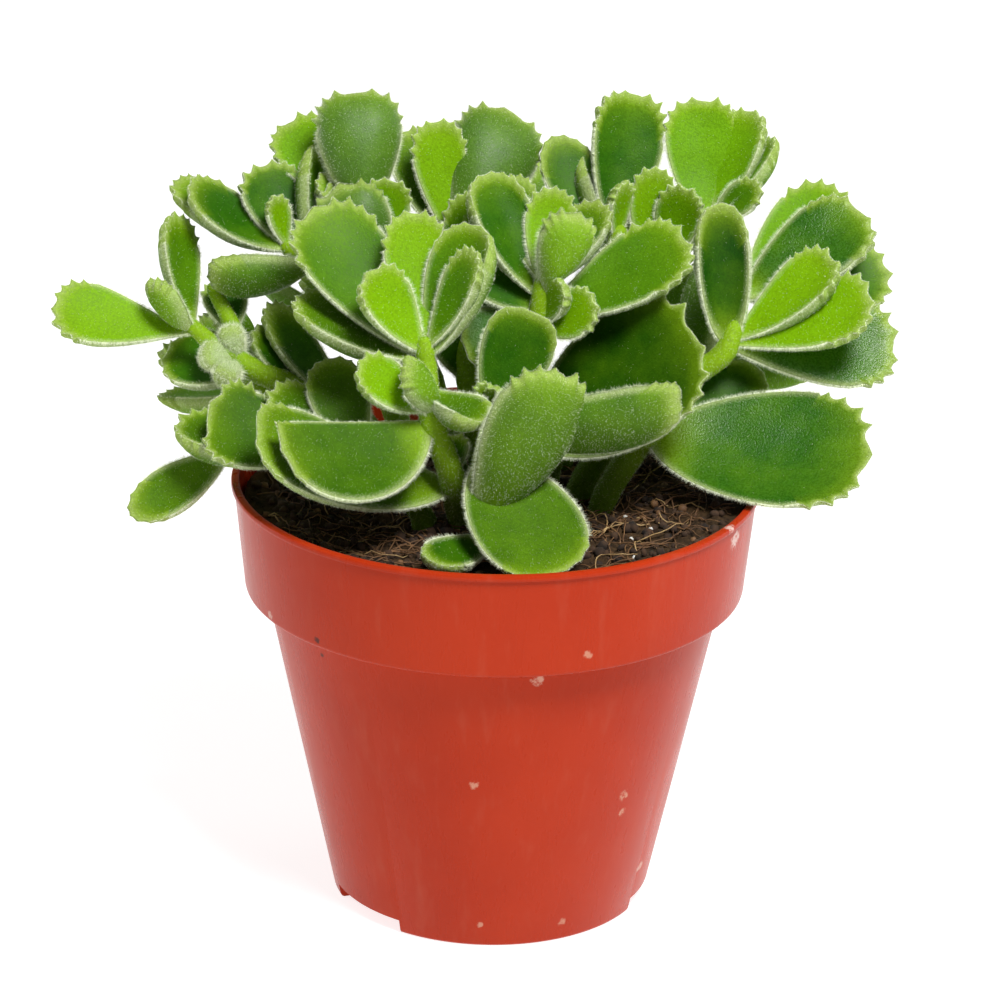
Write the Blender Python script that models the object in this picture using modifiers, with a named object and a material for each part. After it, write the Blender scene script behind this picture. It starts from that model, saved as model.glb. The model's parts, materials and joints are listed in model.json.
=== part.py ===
# Potted cotyledon: a tooth-leaved succulent of many short stems in a plain nursery pot.
# Metres, +Z up. The origin is the middle of the pot's underside, and -Y is the front.
import math
import random

import bmesh
import bpy
from mathutils import Matrix, Vector

MM = 0.001

# Pot, in millimetres: a common 10.5 cm nursery pot.
POT_HEIGHT = 88.0
LIP_RADIUS = 52.5
LIP_HEIGHT = 1.3
COLLAR_TOP_RADIUS = 51.9
COLLAR_FOOT_RADIUS = 49.8
COLLAR_FOOT_Z = 66.0
BODY_TOP_RADIUS = 45.8
BODY_FOOT_RADIUS = 31.8
WALL = 1.2
FLOOR_Z = 4.0
FLOOR_THICKNESS = 1.4
PAD_RADIUS = 9.0
NOTCH_HEIGHT = 3.0
NOTCH_PLACES = ((-52.0, 37.0), (80.0, 36.0), (194.0, 36.0))
DRAIN_COUNT = 6
DRAIN_RADIUS = 3.0
DRAIN_RING_RADIUS = 20.0
POT_STEPS = 34

# Soil, in millimetres. It heaps up towards the right, where it meets the rim.
SOIL_LEVEL = 80.5
SOIL_HEAP = 5.0
SOIL_HEAP_START = 8.0
SOIL_HEAP_END = 46.0
SOIL_LEFT_HEAP = 3.5
SOIL_LEFT_START = -24.0
SOIL_LEFT_END = -44.0
SOIL_BUMP = 0.7
SOIL_STEPS = 24
SOIL_RINGS = 11
TOUCH_GAP = 0.3
SIDE_GAP = 0.56  # leaves TOUCH_GAP to the middle of the pot's flat sides
STEM_DEPTH = 9.0
FOOT_RISE = 1.5
HOLE_SIDES = 8

# The view that the leaves are set out in: across, up and towards the viewer of the photograph.
EYE = (0.0, -860.0, 420.0)
VIEW_PITCH = 21.4
VIEW_YAW = 0.06
VIEW_ROLL = 0.97
VIEW_DISTANCE = 922.0

STEM_PIECES = 3

# Leaf form. Shares are of the leaf's own length or width.
TOOTH_HEIGHT = 1.5
LEAF_MIDDLE = 0.56
LEAN_SHIFT = 0.25
LEAF_THICKNESS = 4.6
RING_SHARE = 0.74
SIDE_COLUMNS = 8
SMALL_LEAF = 12.5


def view_axes():
    """The view's right, up and forward directions, as unit vectors."""
    pitch, yaw, roll = (math.radians(a) for a in (VIEW_PITCH, VIEW_YAW, VIEW_ROLL))
    forward = Vector((math.sin(yaw) * math.cos(pitch), math.cos(yaw) * math.cos(pitch), -math.sin(pitch)))
    right = Vector((math.cos(yaw), -math.sin(yaw), 0.0))
    up = right.cross(forward)
    turned_right = right * math.cos(roll) + up * math.sin(roll)
    turned_up = up * math.cos(roll) - right * math.sin(roll)
    return turned_right, turned_up, forward


RIGHT, UP, FORWARD = view_axes()


def seen(across, up, near):
    """The world point, in millimetres, seen at (across, up), this much nearer to the viewer than the axis."""
    distance = VIEW_DISTANCE - near
    spread = distance / VIEW_DISTANCE
    return Vector(EYE) + FORWARD * distance + RIGHT * (across * spread) + UP * (up * spread)


def seen_direction(across, up, near):
    return RIGHT * across + UP * up - FORWARD * near


def leaf(name, base, tip, width, face, teeth=5, cup=0.35, arch=0.35, dome=0.0, taper=0.95, blunt=0.42,
         thick=1.0, zone=0.34, lean=0.0):
    """One leaf by its base, tip and width in millimetres and the way its upper face looks, all as seen.
    Its teeth fill the share zone of its margin, and lean widens one side of it and narrows the other."""
    return {
        "name": name, "base": seen(*base), "tip": seen(*tip), "width": width,
        "face": seen_direction(*face), "teeth": teeth, "cup": cup, "arch": arch, "dome": dome,
        "taper": taper, "blunt": blunt, "thick": thick, "zone": zone, "lean": lean,
    }


def path(*points):
    """A stem by points as seen, each with its radius: (across, up, near, radius)."""
    return [(seen(a, u, n), r) for a, u, n, r in points]


def stem_foot(x, y, radius):
    """The straight foot of a stem that stands in the soil at (x, y)."""
    level = soil_height(x, y)
    return [(Vector((x, y, level + height)), radius) for height in (-STEM_DEPTH, FOOT_RISE)]


def rooted(x, y, *points):
    """A stem that stands upright in the soil at (x, y), then goes through points as seen."""
    return stem_foot(x, y, points[0][3]) + path(*points)


def smooth_step(low, high, value):
    share = min(max((value - low) / (high - low), 0.0), 1.0)
    return share * share * (3.0 - 2.0 * share)


def soil_height(x, y):
    """The soil's surface at (x, y), in millimetres."""
    heap = SOIL_HEAP * smooth_step(SOIL_HEAP_START, SOIL_HEAP_END, x)
    heap += SOIL_LEFT_HEAP * smooth_step(SOIL_LEFT_START, SOIL_LEFT_END, x)
    bumps = math.sin(0.21 * x + 0.7) * math.cos(0.17 * y - 0.4) + 0.6 * math.sin(0.37 * y + 0.23 * x)
    return SOIL_LEVEL + heap + SOIL_BUMP * bumps


SHOOTS = {
    "shoot_front_left": {
        "stems": [
            rooted(-7, -9, (-10, 6, 20, 2.6), (-13.5, 16, 24, 2.4), (-14.5, 26, 24, 2.0),
                   (-15, 31, 24, 1.6)),
        ],
        "leaves": [
            leaf("tall_lime", (-15, 29, 24), (-17.4, 57.2, 21), 12.6, (0.1, 0, 1), teeth=6, blunt=0.36),
            leaf("short_lime", (-15.5, 29, 25), (-25.8, 45.2, 30), 11.5, (0.3, 0.3, 0.85), teeth=6,
                 cup=0.6, blunt=0.32),
            leaf("broad_back", (-15, 28, 23), (-37, 57.6, 16), 18.5, (0.3, 0.2, 0.9), teeth=6, blunt=0.32),
            leaf("broad_under", (-15, 27.5, 22), (-39.5, 41, 15), 16, (0.3, 0.75, 0.6)),
            leaf("boat_outer", (-13.5, 28, 25), (-4.5, 54.5, 25), 15, (-0.55, 0.1, 0.8), cup=0.95, teeth=4),
            leaf("boat_inner", (-13.5, 30, 27), (-5.2, 49.7, 31), 9, (-0.6, 0.2, 0.7), cup=0.5, teeth=4),
            leaf("round_lime", (-14, 18, 24), (-28, 27, 30), 10.5, (0.2, 0.5, 0.85), teeth=6, taper=0.8),
            leaf("round_furry", (-13.8, 17, 25), (-19.5, 27, 32), 8.5, (-0.85, 0.35, 0.15), taper=0.8,
                 cup=0.6),
            leaf("small_boat", (-13.5, 22.5, 26), (-3.0, 15.8, 31.5), 10.5, (0.25, 0.75, 0.5), teeth=4,
                 cup=0.75),
            leaf("low_broad", (-12.8, 15.8, 25), (-44.5, 15.4, 36), 19.5, (0.1, 0.35, 0.9), taper=0.6,
                 blunt=0.38, cup=0.3, zone=0.2, lean=0.95),
            leaf("low_broad_under", (-7, -1, 18), (-48, 17, 30), 20, (0.15, 0.5, 0.85), taper=0.72,
                 blunt=0.3, zone=0.25, lean=0.5),
            leaf("narrow_front", (-9, 3, 18), (-9.5, 13, 24), 7, (0.3, 0.1, 0.9), teeth=3),
        ],
    },
    "shoot_low_middle": {
        "stems": [rooted(-1, -22, (-4.5, -2, 21, 2.6), (-3.5, 7, 20, 2.3), (-1.5, 16, 19, 1.8))],
        "leaves": [
            leaf("oval_dark", (1, 17, 18), (6, 37.5, 22), 14.5, (0.05, 0.1, 1), taper=0.7, blunt=0.3),
            leaf("velvet_front", (-2.5, -4, 22), (12, 25.5, 33), 20, (-0.45, 0.3, -0.8), taper=0.75,
                 blunt=0.34, cup=0.4, zone=0.26, teeth=4),
            leaf("low_front", (6, 7, 20), (11.2, -14.6, 36), 22, (0.15, 0.5, 0.85), taper=0.6, blunt=0.36,
                 zone=0.26),
            leaf("low_dark", (1, -7, 22), (-13.8, -12, 37.5), 9.5, (0, 0.6, 0.8), taper=0.7, teeth=3),
            leaf("pale_under", (-1.5, 21, 19), (35.4, 22.6, 30), 13.5, (0.05, 0.35, -0.9), taper=0.6,
                 blunt=0.34, zone=0.25, lean=0.7),
            leaf("tiny_a", (-2, 16, 20), (-3.8, 23, 25), 4, (0.2, 0, 0.9), teeth=3),
            leaf("tiny_b", (-1.5, 16, 21), (-1.3, 22, 26), 4, (-0.3, 0, 0.9), teeth=3),
        ],
    },
    "shoot_centre": {
        "stems": [rooted(6, 2, (6, 20, 8, 2.6), (7.5, 34, 12, 2.3), (8.5, 43, 14, 1.8))],
        "leaves": [
            leaf("edged_dark", (8, 40, 14), (-3.4, 64.6, 12), 13.5, (0.5, 0, 0.85), cup=0.8, teeth=4),
            leaf("small_dull", (8, 44, 11), (2.5, 64.5, 6), 8.5, (0.2, 0, 1), teeth=4),
            leaf("back_lime", (8.8, 41.5, 13), (10.7, 62, 11), 10, (-0.1, 0, 1), teeth=5),
            leaf("furry_lime", (9, 41, 16), (15, 57, 20), 11, (-0.3, 0.3, -0.9), teeth=5, blunt=0.34),
            leaf("dull_right", (9, 43, 11), (19.7, 59.3, 5), 10.5, (-0.5, 0.1, 0.8), teeth=4),
            leaf("round_left", (8, 35, 15), (12.3, 42.5, 21), 7, (-0.7, 0.1, 0.7), teeth=4, taper=0.8),
            leaf("round_right", (9, 33, 15), (18.8, 39, 20), 10, (-0.2, 0.2, 0.9), teeth=5, taper=0.8),
            leaf("behind_boat", (7, 36, 11), (-7, 30, 12), 14, (0, 0.4, 0.9)),
            leaf("behind_edge", (7.5, 38, 12), (-3.5, 47, 8.5), 12, (0.2, 0.3, 0.9)),
            leaf("right_broad", (8.5, 36, 12), (37, 52, 13), 16.5, (-0.25, 0.45, 0.85), teeth=6,
                 blunt=0.34, zone=0.38),
            leaf("right_dark", (6, 9, 9), (39, 32.5, 17), 31, (-0.1, 0.45, 0.9), teeth=6, taper=0.62,
                 blunt=0.32, zone=0.3),
        ],
    },
    "shoot_top_left": {
        "stems": [
            rooted(-8, 12, (-14, 24, -2, 2.8), (-22, 42, 1, 2.5), (-28, 57, 2, 2.0)),
            path((-20, 38, 0, 2.2), (-32, 45, 0, 2.1), (-42, 50, 0, 1.8)),
        ],
        "leaves": [
            leaf("crown_dark", (-27.2, 55, 3), (-28.4, 81.2, 1), 17.5, (-0.1, 0, -1), taper=0.85,
                 blunt=0.28),
            leaf("crown_back", (-32, 55, -3), (-42, 75.3, -9), 13.5, (0.2, 0, 1), teeth=6, blunt=0.34),
            leaf("thin_edge", (-33, 53, -1), (-36.5, 70.2, -2.4), 8.6, (0.95, 0.1, 0.3), teeth=3),
            leaf("left_dark", (-41, 49, 0), (-46.8, 66.8, -3), 13.5, (0.3, 0.1, 0.9), teeth=6),
            leaf("left_lime", (-43, 50, 3), (-44.5, 60.3, 5), 5.2, (0.5, 0, 0.85), teeth=4),
            leaf("glossy_middle", (-22, 42, 6), (-32.5, 62, 6), 15.5, (0.1, 0.1, -1), teeth=6, blunt=0.34),
            leaf("red_tipped", (-30, 52, 4), (-34, 62.5, 3), 7, (0.2, 0.2, 0.9), teeth=4),
            leaf("round_dull", (-25, 48, 3), (-21.8, 63.6, 6), 10, (0.1, 0.1, 1), teeth=6, taper=0.8,
                 blunt=0.34),
            leaf("pointed_back", (-29, 55, 0.5), (-35.2, 65, 1), 7, (0.5, 0.1, 0.8), teeth=3),
            leaf("outer_dark", (-43, 46.5, 2.4), (-61, 63.9, 0.8), 12, (0.4, 0.5, 0.75), teeth=3, cup=0.4,
                 blunt=0.52, lean=0.3),
            leaf("outer_back", (-43, 46.5, -2), (-64.3, 63.7, -7), 11, (0.4, 0.6, 0.7), teeth=3),
            leaf("level_left", (-38, 45, 3), (-57.8, 46.8, 9), 11, (0.1, 0.6, -0.8), teeth=4, taper=0.8,
                 lean=-0.5),
        ],
    },
    "shoot_left": {
        "stems": [
            rooted(-16, 5, (-27, 15, 0, 2.6), (-40, 22, 1, 2.4), (-51.5, 27.5, 3, 2.2), (-53, 34, 2, 1.8),
                   (-57, 42, 1, 1.3)),
            path((-51, 27, 3, 1.9), (-56.5, 30.5, 4, 1.8), (-61, 34.5, 4, 1.6)),
        ],
        "leaves": [
            leaf("far_left", (-60, 33, 4), (-88.6, 38.6, 8), 13.5, (0.12, 0.45, 0.85), teeth=5, taper=1.35,
                 blunt=0.38, zone=0.3),
            leaf("furry_small", (-61, 34, 5), (-68.8, 44, 9), 8, (0.7, 0.35, -0.5), teeth=5),
            leaf("upright", (-60.5, 34, 3), (-64, 56.8, 1), 10, (0.75, 0, 0.6), teeth=3),
            leaf("shaded_low", (-51, 25, 1), (-66.3, 29.3, -4), 14, (0.1, 0.5, 0.85), teeth=3, taper=0.7),
            leaf("inner_dark", (-38, 21, 2), (-47.3, 35, -1), 11, (0.5, 0.5, 0.7), teeth=3),
            leaf("behind_gap", (-28, 16, 0), (-46, 39, 2), 9, (0.5, 0.3, 0.8), teeth=3),
            leaf("shade_left", (-53, 33, 1), (-55.5, 44, -4), 9, (0.1, 0.1, 1), teeth=3),
            leaf("bud_a", (-52.5, 26.5, 4), (-59, 29.5, 7), 6, (0, 0.3, 0.9), teeth=3, thick=1.4, dome=1.6,
                 cup=0.1),
            leaf("bud_b", (-52.5, 25.5, 4), (-54.2, 34.5, 6), 5, (-0.2, 0.2, 0.9), teeth=3, thick=1.4,
                 dome=1.6, cup=0.1),
            leaf("bud_c", (-51.5, 27, 4), (-55.5, 24.6, 8), 5.5, (0, 0.5, 0.8), teeth=3, thick=1.4,
                 dome=1.6, cup=0.1),
        ],
    },
    "shoot_low_left": {
        "stems": [
            rooted(-14, -9, (-26, 9, 13, 2.4), (-38, 9, 13, 2.1), (-46, 9.5, 10, 1.8), (-55, 10, 7, 1.4)),
        ],
        "leaves": [
            leaf("toothed_front", (-38, 9, 13), (-57.5, 17, 17), 19, (0.15, 0.5, 0.85), teeth=5, taper=0.8,
                 blunt=0.22, zone=0.4),
            leaf("toothed_back", (-42, 9.5, 11), (-64.2, 15.2, 12), 14, (0.2, 0.8, 0.5), teeth=4, cup=0.5),
            leaf("drooping", (-53, 10, 7), (-73.5, -3, 9), 10, (0.45, 0.5, 0.7), teeth=3, cup=0.6,
                 blunt=0.55),
            leaf("peaked", (-29, 9, 13), (-45, 22.5, 12), 13, (0.3, 0.7, 0.6), teeth=4),
            leaf("dull_face", (-28, 9, 13), (-34.5, 28, 9), 12, (0.1, 0.2, 1), teeth=3, taper=0.8),
        ],
    },
    "shoot_upper_middle": {
        "stems": [rooted(-2, 10, (-6, 24, -2, 2.8), (-8, 40, 0, 2.4), (-9, 53, 1, 1.9))],
        "leaves": [
            leaf("glossy_up", (-8, 50, -1), (2, 77, -5), 18.5, (-0.1, 0.1, -1), teeth=6, blunt=0.28),
            leaf("lime_up", (-10, 50, 3), (-13, 75.3, 4), 11, (0.1, 0, 1), teeth=6, blunt=0.34),
            leaf("dull_up", (-10, 50.5, -0.5), (-18.6, 73.6, -5.5), 12, (0.3, 0, 0.95), teeth=4),
            leaf("sliver_up", (-9.5, 53, 0), (-7.3, 73.3, -3), 6, (0, 0, 1), teeth=4),
            leaf("olive_low", (-8, 38, 1), (-6, 61, 5), 10, (0.1, 0, 1), teeth=4),
            leaf("shade_middle", (-7, 28, -1), (-5, 47, 0), 13, (0.1, 0.1, 1), teeth=4),
            leaf("shade_low", (-6, 22, -1), (-11, 39, 7), 11, (0.2, 0.1, 1), teeth=4),
        ],
    },
    "shoot_top_right": {
        "stems": [
            rooted(10, 15, (16, 26, -6, 2.8), (22, 42, -3, 2.4), (23.5, 53, 0, 1.9)),
            path((20, 34, -5, 2.2), (32, 46, -3, 2.1), (42, 56, -2, 1.8)),
        ],
        "leaves": [
            leaf("pointed_left", (22.5, 51, 0), (10, 72, -4), 12, (0.2, 0.2, 0.95), teeth=3, blunt=0.55),
            leaf("edge_left", (22.5, 52, -1), (17, 67.5, -6), 9, (0.9, 0.3, 0.25), teeth=3),
            leaf("tall_dark", (23, 50, 0), (26.5, 80.8, -4), 15, (0.25, 0, 1), teeth=6, taper=0.85,
                 blunt=0.3, cup=0.5),
            leaf("tall_lime_right", (40.5, 54, -2), (40.1, 79.6, -5), 15, (0, 0, 1), teeth=7, taper=0.9,
                 blunt=0.34),
            leaf("lime_fold", (42, 56, -1), (49.6, 77.4, -2.6), 11, (-0.6, 0.1, 0.8), teeth=5, cup=0.5,
                 blunt=0.34),
            leaf("lime_edge", (43, 56, -3), (54.2, 72, -3), 9, (-0.85, 0.3, 0.4), teeth=3),
            leaf("inner_left", (24, 50, 1), (25, 63, 5), 6, (0.7, 0, 0.7), teeth=3),
            leaf("inner_middle", (29, 45, 0), (30.6, 66, 3), 9.5, (0, 0, 1), teeth=5),
            leaf("inner_right", (33, 45, 1), (37, 62, 5), 10, (-0.3, 0, 0.9), teeth=5),
            leaf("furry_right", (44, 54, 0), (51.6, 62.8, 3), 7, (-0.4, 0.1, 0.8), teeth=3, blunt=0.6),
        ],
    },
    "shoot_right": {
        "stems": [
            rooted(17, 8, (28, 21, 0, 2.8), (38, 25, 4, 2.5), (45, 30, 6, 2.2), (48, 41, 3, 1.6)),
        ],
        "leaves": [
            leaf("upright_boat", (45, 31, 8), (43.6, 58.8, 13), 11.5, (0.1, 0.1, 1), teeth=3, taper=0.6,
                 blunt=0.36, cup=0.95),
            leaf("upper_dark", (47.5, 40, 3), (72, 57, 0), 17.5, (-0.35, 0.35, 0.85), dome=1.2, taper=0.8,
                 blunt=0.3),
            leaf("upper_lime", (48, 41, 0), (66.5, 62.3, -6), 15, (-0.35, 0.3, 0.9), teeth=6),
            leaf("furry_lime_right", (46.5, 32, 8), (66.3, 48, 11), 13, (-0.6, 0.35, 0.7), teeth=5,
                 cup=0.6, blunt=0.34),
            leaf("bright_lime", (46.5, 30.5, 9), (73.6, 40.2, 16), 15, (-0.2, 0.5, 0.85), teeth=5,
                 taper=1.25, blunt=0.34, zone=0.4),
            leaf("far_dark", (49, 39, 0), (77, 46, -5), 17, (-0.1, 0.3, 0.95), teeth=6),
            leaf("low_glossy", (45.5, 30, 6), (78.6, 31, 5), 18, (0, 0.3, 0.95), dome=1.2, teeth=6,
                 taper=1.1, blunt=0.34, zone=0.3),
        ],
    },
    "shoot_low_right": {
        "stems": [
            rooted(21, -2, (26, 9, 2, 2.6), (30, 13, 5, 2.3), (35, 17.5, 3, 1.6)),
        ],
        "leaves": [
            leaf("big_right", (28, 13, 8), (72.8, 8.6, 15), 27, (-0.05, 0.5, 0.85), teeth=7, taper=0.6,
                 blunt=0.3, zone=0.34),
            leaf("behind_big", (35, 21, 2), (52.3, 25, -2), 12, (0, 0.4, 0.9), teeth=3, taper=0.7),
        ],
    },
}


# The back of the plant, which the photograph hides: (name, seed, root x y, head x y z, leaf pairs), in mm.
BACK_SHOOTS = (
    ("shoot_back_left", 3, (-17, 19), (-32, 38, 113), 3),
    ("shoot_back_middle", 5, (-1, 24), (-4, 47, 127), 3),
    ("shoot_back_right", 8, (13, 25), (24, 49, 112), 3),
    ("shoot_back_far_right", 13, (25, 14), (50, 27, 102), 3),
    ("shoot_back_low_left", 21, (-26, 9), (-53, 22, 101), 2),
)
PAIR_SPACING = 4.5
PAIR_TURN = 90.0


def ruled_shoot(seed, root, head, pairs):
    """A shoot by the plant's own rule: leaves in opposite pairs, each pair a quarter turn from the last,
    short and upright at the tip, longer and more spread below."""
    rng = random.Random(seed)
    x, y = root
    low = Vector((x, y, soil_height(x, y)))
    top = Vector(head)
    middle = low.lerp(top, 0.5) + Vector((0.0, 0.0, 4.0))
    stem = stem_foot(x, y, 2.6) + [(middle, 2.3), (top, 1.7)]
    axis = (top - middle).normalized()
    side = axis.orthogonal().normalized()
    leaves = []
    for pair in range(pairs):
        base = top - axis * (2.0 + PAIR_SPACING * pair)
        for half in range(2):
            turn = math.radians(PAIR_TURN * pair + 180.0 * half + rng.uniform(-10.0, 10.0) + 40.0)
            spread = math.radians(22.0 + 17.0 * pair + rng.uniform(-6.0, 6.0))
            length = 17.0 + 5.0 * pair + rng.uniform(-2.0, 2.0)
            out = Matrix.Rotation(turn, 3, axis) @ side
            along = axis * math.cos(spread) + out * math.sin(spread)
            leaves.append({
                "name": f"pair_{pair}_{half}", "base": base, "tip": base + along * length,
                "width": length * rng.uniform(0.42, 0.5), "face": axis - out * 0.3,
                "teeth": 4 + pair % 2, "cup": 0.35, "arch": 0.35, "dome": 0.0, "taper": 0.9,
                "blunt": 0.4, "thick": 1.0, "zone": 0.34, "lean": 0.0,
            })
    return {"stems": [stem], "leaves": leaves}


def clear_scene():
    for obj in list(bpy.data.objects):
        bpy.data.objects.remove(obj, do_unlink=True)


def collection(name):
    made = bpy.data.collections.new(name)
    bpy.context.scene.collection.children.link(made)
    return made


def material(name, colour, roughness, metallic=0.0):
    made = bpy.data.materials.new(name)
    made.use_nodes = True
    shader = made.node_tree.nodes["Principled BSDF"]
    shader.inputs["Base Color"].default_value = (*colour, 1.0)
    shader.inputs["Roughness"].default_value = roughness
    shader.inputs["Metallic"].default_value = metallic
    return made


def mesh_object(name, bm, home):
    mesh = bpy.data.meshes.new(name)
    bm.to_mesh(mesh)
    bm.free()
    obj = bpy.data.objects.new(name, mesh)
    home.objects.link(obj)
    return obj


def apply_modifiers(obj):
    graph = bpy.context.evaluated_depsgraph_get()
    mesh = bpy.data.meshes.new_from_object(obj.evaluated_get(graph))
    obj.modifiers.clear()
    obj.data = mesh


def shade_smooth(obj, angle):
    obj.data.shade_smooth()
    obj.data.set_sharp_from_angle(angle=math.radians(angle))


# Leaves.

def outline_point(t, form):
    """The plain margin at t, 0 at the apex and 1 at the base: shares of the length and the half width."""
    along = 0.5 * (1.0 + math.cos(math.pi * t))
    peak = form["taper"] / (form["taper"] + form["blunt"])
    rise = (along / peak) ** form["taper"]
    fall = ((1.0 - along) / (1.0 - peak)) ** form["blunt"]
    return along, rise * fall


def margin_point(share, form, length, teeth_share):
    """The toothed margin at share, -1 to 1 round the leaf: its plain point, and its tooth's reach."""
    away = abs(share)
    zone = form["zone"]
    if away < teeth_share:
        t = zone * away / teeth_share
    else:
        t = zone + (1.0 - zone) * (away - teeth_share) / (1.0 - teeth_share)
    side = 1.0 if share > 0 else -1.0
    half = 0.5 * form["width"] * (1.0 + side * form["lean"])
    step = 0.01
    along, out = outline_point(t, form)
    along_a, out_a = outline_point(max(t - step, 0.0), form)
    along_b, out_b = outline_point(min(t + step, 1.0), form)
    point = Vector((along * length, side * out * half))
    run = Vector(((along_b - along_a) * length, side * (out_b - out_a) * half))
    normal = Vector((-run.y, run.x)) * side
    if normal.length < 1e-9 or t < step:
        normal = Vector((1.0, 0.0))
    normal.normalize()
    tooth = 0.0
    if away < teeth_share:
        place = (share / teeth_share + 1.0) / 2.0 * form["teeth"]
        tooth = (1.0 - abs(2.0 * (place - math.floor(place)) - 1.0)) ** 1.5
    height = TOOTH_HEIGHT * min(1.0, form["width"] / 11.0)
    return point, normal * (tooth * height)


def bend(x, y, z, length, form):
    """Rolls the leaf's sides up by its cup, then arches it lengthwise, keeping both ends in place."""
    if form["cup"] > 0.01:
        radius = 0.5 * form["width"] / form["cup"]
        turn = y / radius
        y = (radius - z) * math.sin(turn)
        z = radius - (radius - z) * math.cos(turn)
    if form["arch"] > 0.01:
        radius = length / form["arch"]
        turn = x / radius - form["arch"] / 2.0
        chord = 2.0 * radius * math.sin(form["arch"] / 2.0)
        rise = radius * (1.0 - math.cos(form["arch"] / 2.0))
        x = (chord / 2.0 + (radius - z) * math.sin(turn)) * length / chord
        z = radius - (radius - z) * math.cos(turn) - rise
    return x, y, z


def leaf_frame(form):
    along = (form["tip"] - form["base"]).normalized()
    across = form["face"].cross(along).normalized()
    out = along.cross(across)
    return Matrix((along, across, out)).transposed()


def leaf_object(form, home):
    """A closed fleshy leaf: a sphere of two rings, one drawn out to the toothed margin, one on the underside."""
    teeth = form["teeth"]
    columns = 2 * teeth + (SIDE_COLUMNS if form["width"] > SMALL_LEAF else SIDE_COLUMNS - 2)
    teeth_share = 2.0 * teeth / columns
    length = (form["tip"] - form["base"]).length
    thickness = LEAF_THICKNESS * form["thick"] * min(1.0, 0.35 + form["width"] / 22.0)
    frame = leaf_frame(form)
    middle = Vector((LEAF_MIDDLE * length, LEAN_SHIFT * form["width"] * form["lean"]))
    bm = bmesh.new()
    bmesh.ops.create_uvsphere(bm, u_segments=columns, v_segments=3, radius=1.0)
    for vert in bm.verts:
        upper = vert.co.z > 0.0
        pole = abs(vert.co.z) > 0.9
        ring = 0.0 if pole else (1.0 if upper else RING_SHARE)
        turn = math.atan2(vert.co.y, vert.co.x)
        share = round(turn / math.pi * columns / 2.0) * 2.0 / columns
        plain, tooth = margin_point(share, form, length, teeth_share)
        flat = middle + (plain - middle) * ring
        if ring == 1.0:
            flat += tooth
        rise = math.sqrt(1.0 - ring * ring)
        z = (form["dome"] + 0.25) * rise if upper else -thickness * rise
        vert.co = form["base"] + frame @ Vector(bend(flat.x, flat.y, z, length, form))
        vert.co *= MM
    bmesh.ops.recalc_face_normals(bm, faces=bm.faces)
    return mesh_object(form["name"], bm, home)


# Stems.

def smooth_path(points):
    """Points on a smooth curve through the given ones, each with its radius. The foot itself is straight."""
    line = []
    count = len(points)
    for i in range(count - 1):
        before, (a, ra), (b, rb), after = points[max(i - 1, 0)][0], points[i], points[i + 1], \
            points[min(i + 2, count - 1)][0]
        pieces = 1 if i == 0 else STEM_PIECES
        for k in range(pieces):
            t = k / pieces
            tangent_a, tangent_b = (b - before) / 2.0, (after - a) / 2.0
            h1, h2 = 2 * t ** 3 - 3 * t ** 2 + 1, t ** 3 - 2 * t ** 2 + t
            h3, h4 = -2 * t ** 3 + 3 * t ** 2, t ** 3 - t ** 2
            line.append((a * h1 + tangent_a * h2 + b * h3 + tangent_b * h4, ra + (rb - ra) * t))
    line.append(points[-1])
    return line


def stem_object(name, points, home):
    curve = bpy.data.curves.new(f"{name}_line", "CURVE")
    curve.dimensions = "3D"
    curve.bevel_depth = MM
    curve.bevel_resolution = 2
    curve.use_fill_caps = True
    line = smooth_path(points)
    spline = curve.splines.new("POLY")
    spline.points.add(len(line) - 1)
    for spot, (place, radius) in zip(spline.points, line):
        spot.co = (*(place * MM), 1.0)
        spot.radius = radius
    made = bpy.data.objects.new(f"{name}_line", curve)
    home.objects.link(made)
    graph = bpy.context.evaluated_depsgraph_get()
    mesh = bpy.data.meshes.new_from_object(made.evaluated_get(graph))
    obj = bpy.data.objects.new(name, mesh)
    home.objects.link(obj)
    obj.matrix_world = made.matrix_world
    bpy.data.objects.remove(made, do_unlink=True)
    bm = bmesh.new()
    bm.from_mesh(mesh)
    bmesh.ops.remove_doubles(bm, verts=bm.verts, dist=1e-6)
    bmesh.ops.recalc_face_normals(bm, faces=bm.faces)
    bm.to_mesh(mesh)
    bm.free()
    return obj


def root_on(stems, spot):
    """The nearest point to this spot on the middle line of any of the stems."""
    best = None
    for line in stems:
        for (a, _), (b, _) in zip(line, line[1:]):
            run = b - a
            share = min(max((spot - a).dot(run) / run.length_squared, 0.0), 1.0)
            near = a + run * share
            if best is None or (near - spot).length < (best - spot).length:
                best = near
    return best


def keep_main_body(obj):
    """Keeps the largest connected body: a sealed pocket in it is filled, and a loose scrap is dropped."""
    bm = bmesh.new()
    bm.from_mesh(obj.data)
    bmesh.ops.triangulate(bm, faces=bm.faces)
    left = set(bm.verts)
    bodies = []
    while left:
        todo = [left.pop()]
        body = set(todo)
        while todo:
            for edge in todo.pop().link_edges:
                for vert in edge.verts:
                    if vert in left:
                        left.remove(vert)
                        body.add(vert)
                        todo.append(vert)
        bodies.append(body)
    bodies.sort(key=len)
    for body in bodies[:-1]:
        bmesh.ops.delete(bm, geom=list(body), context="VERTS")
    bm.to_mesh(obj.data)
    bm.free()


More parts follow.
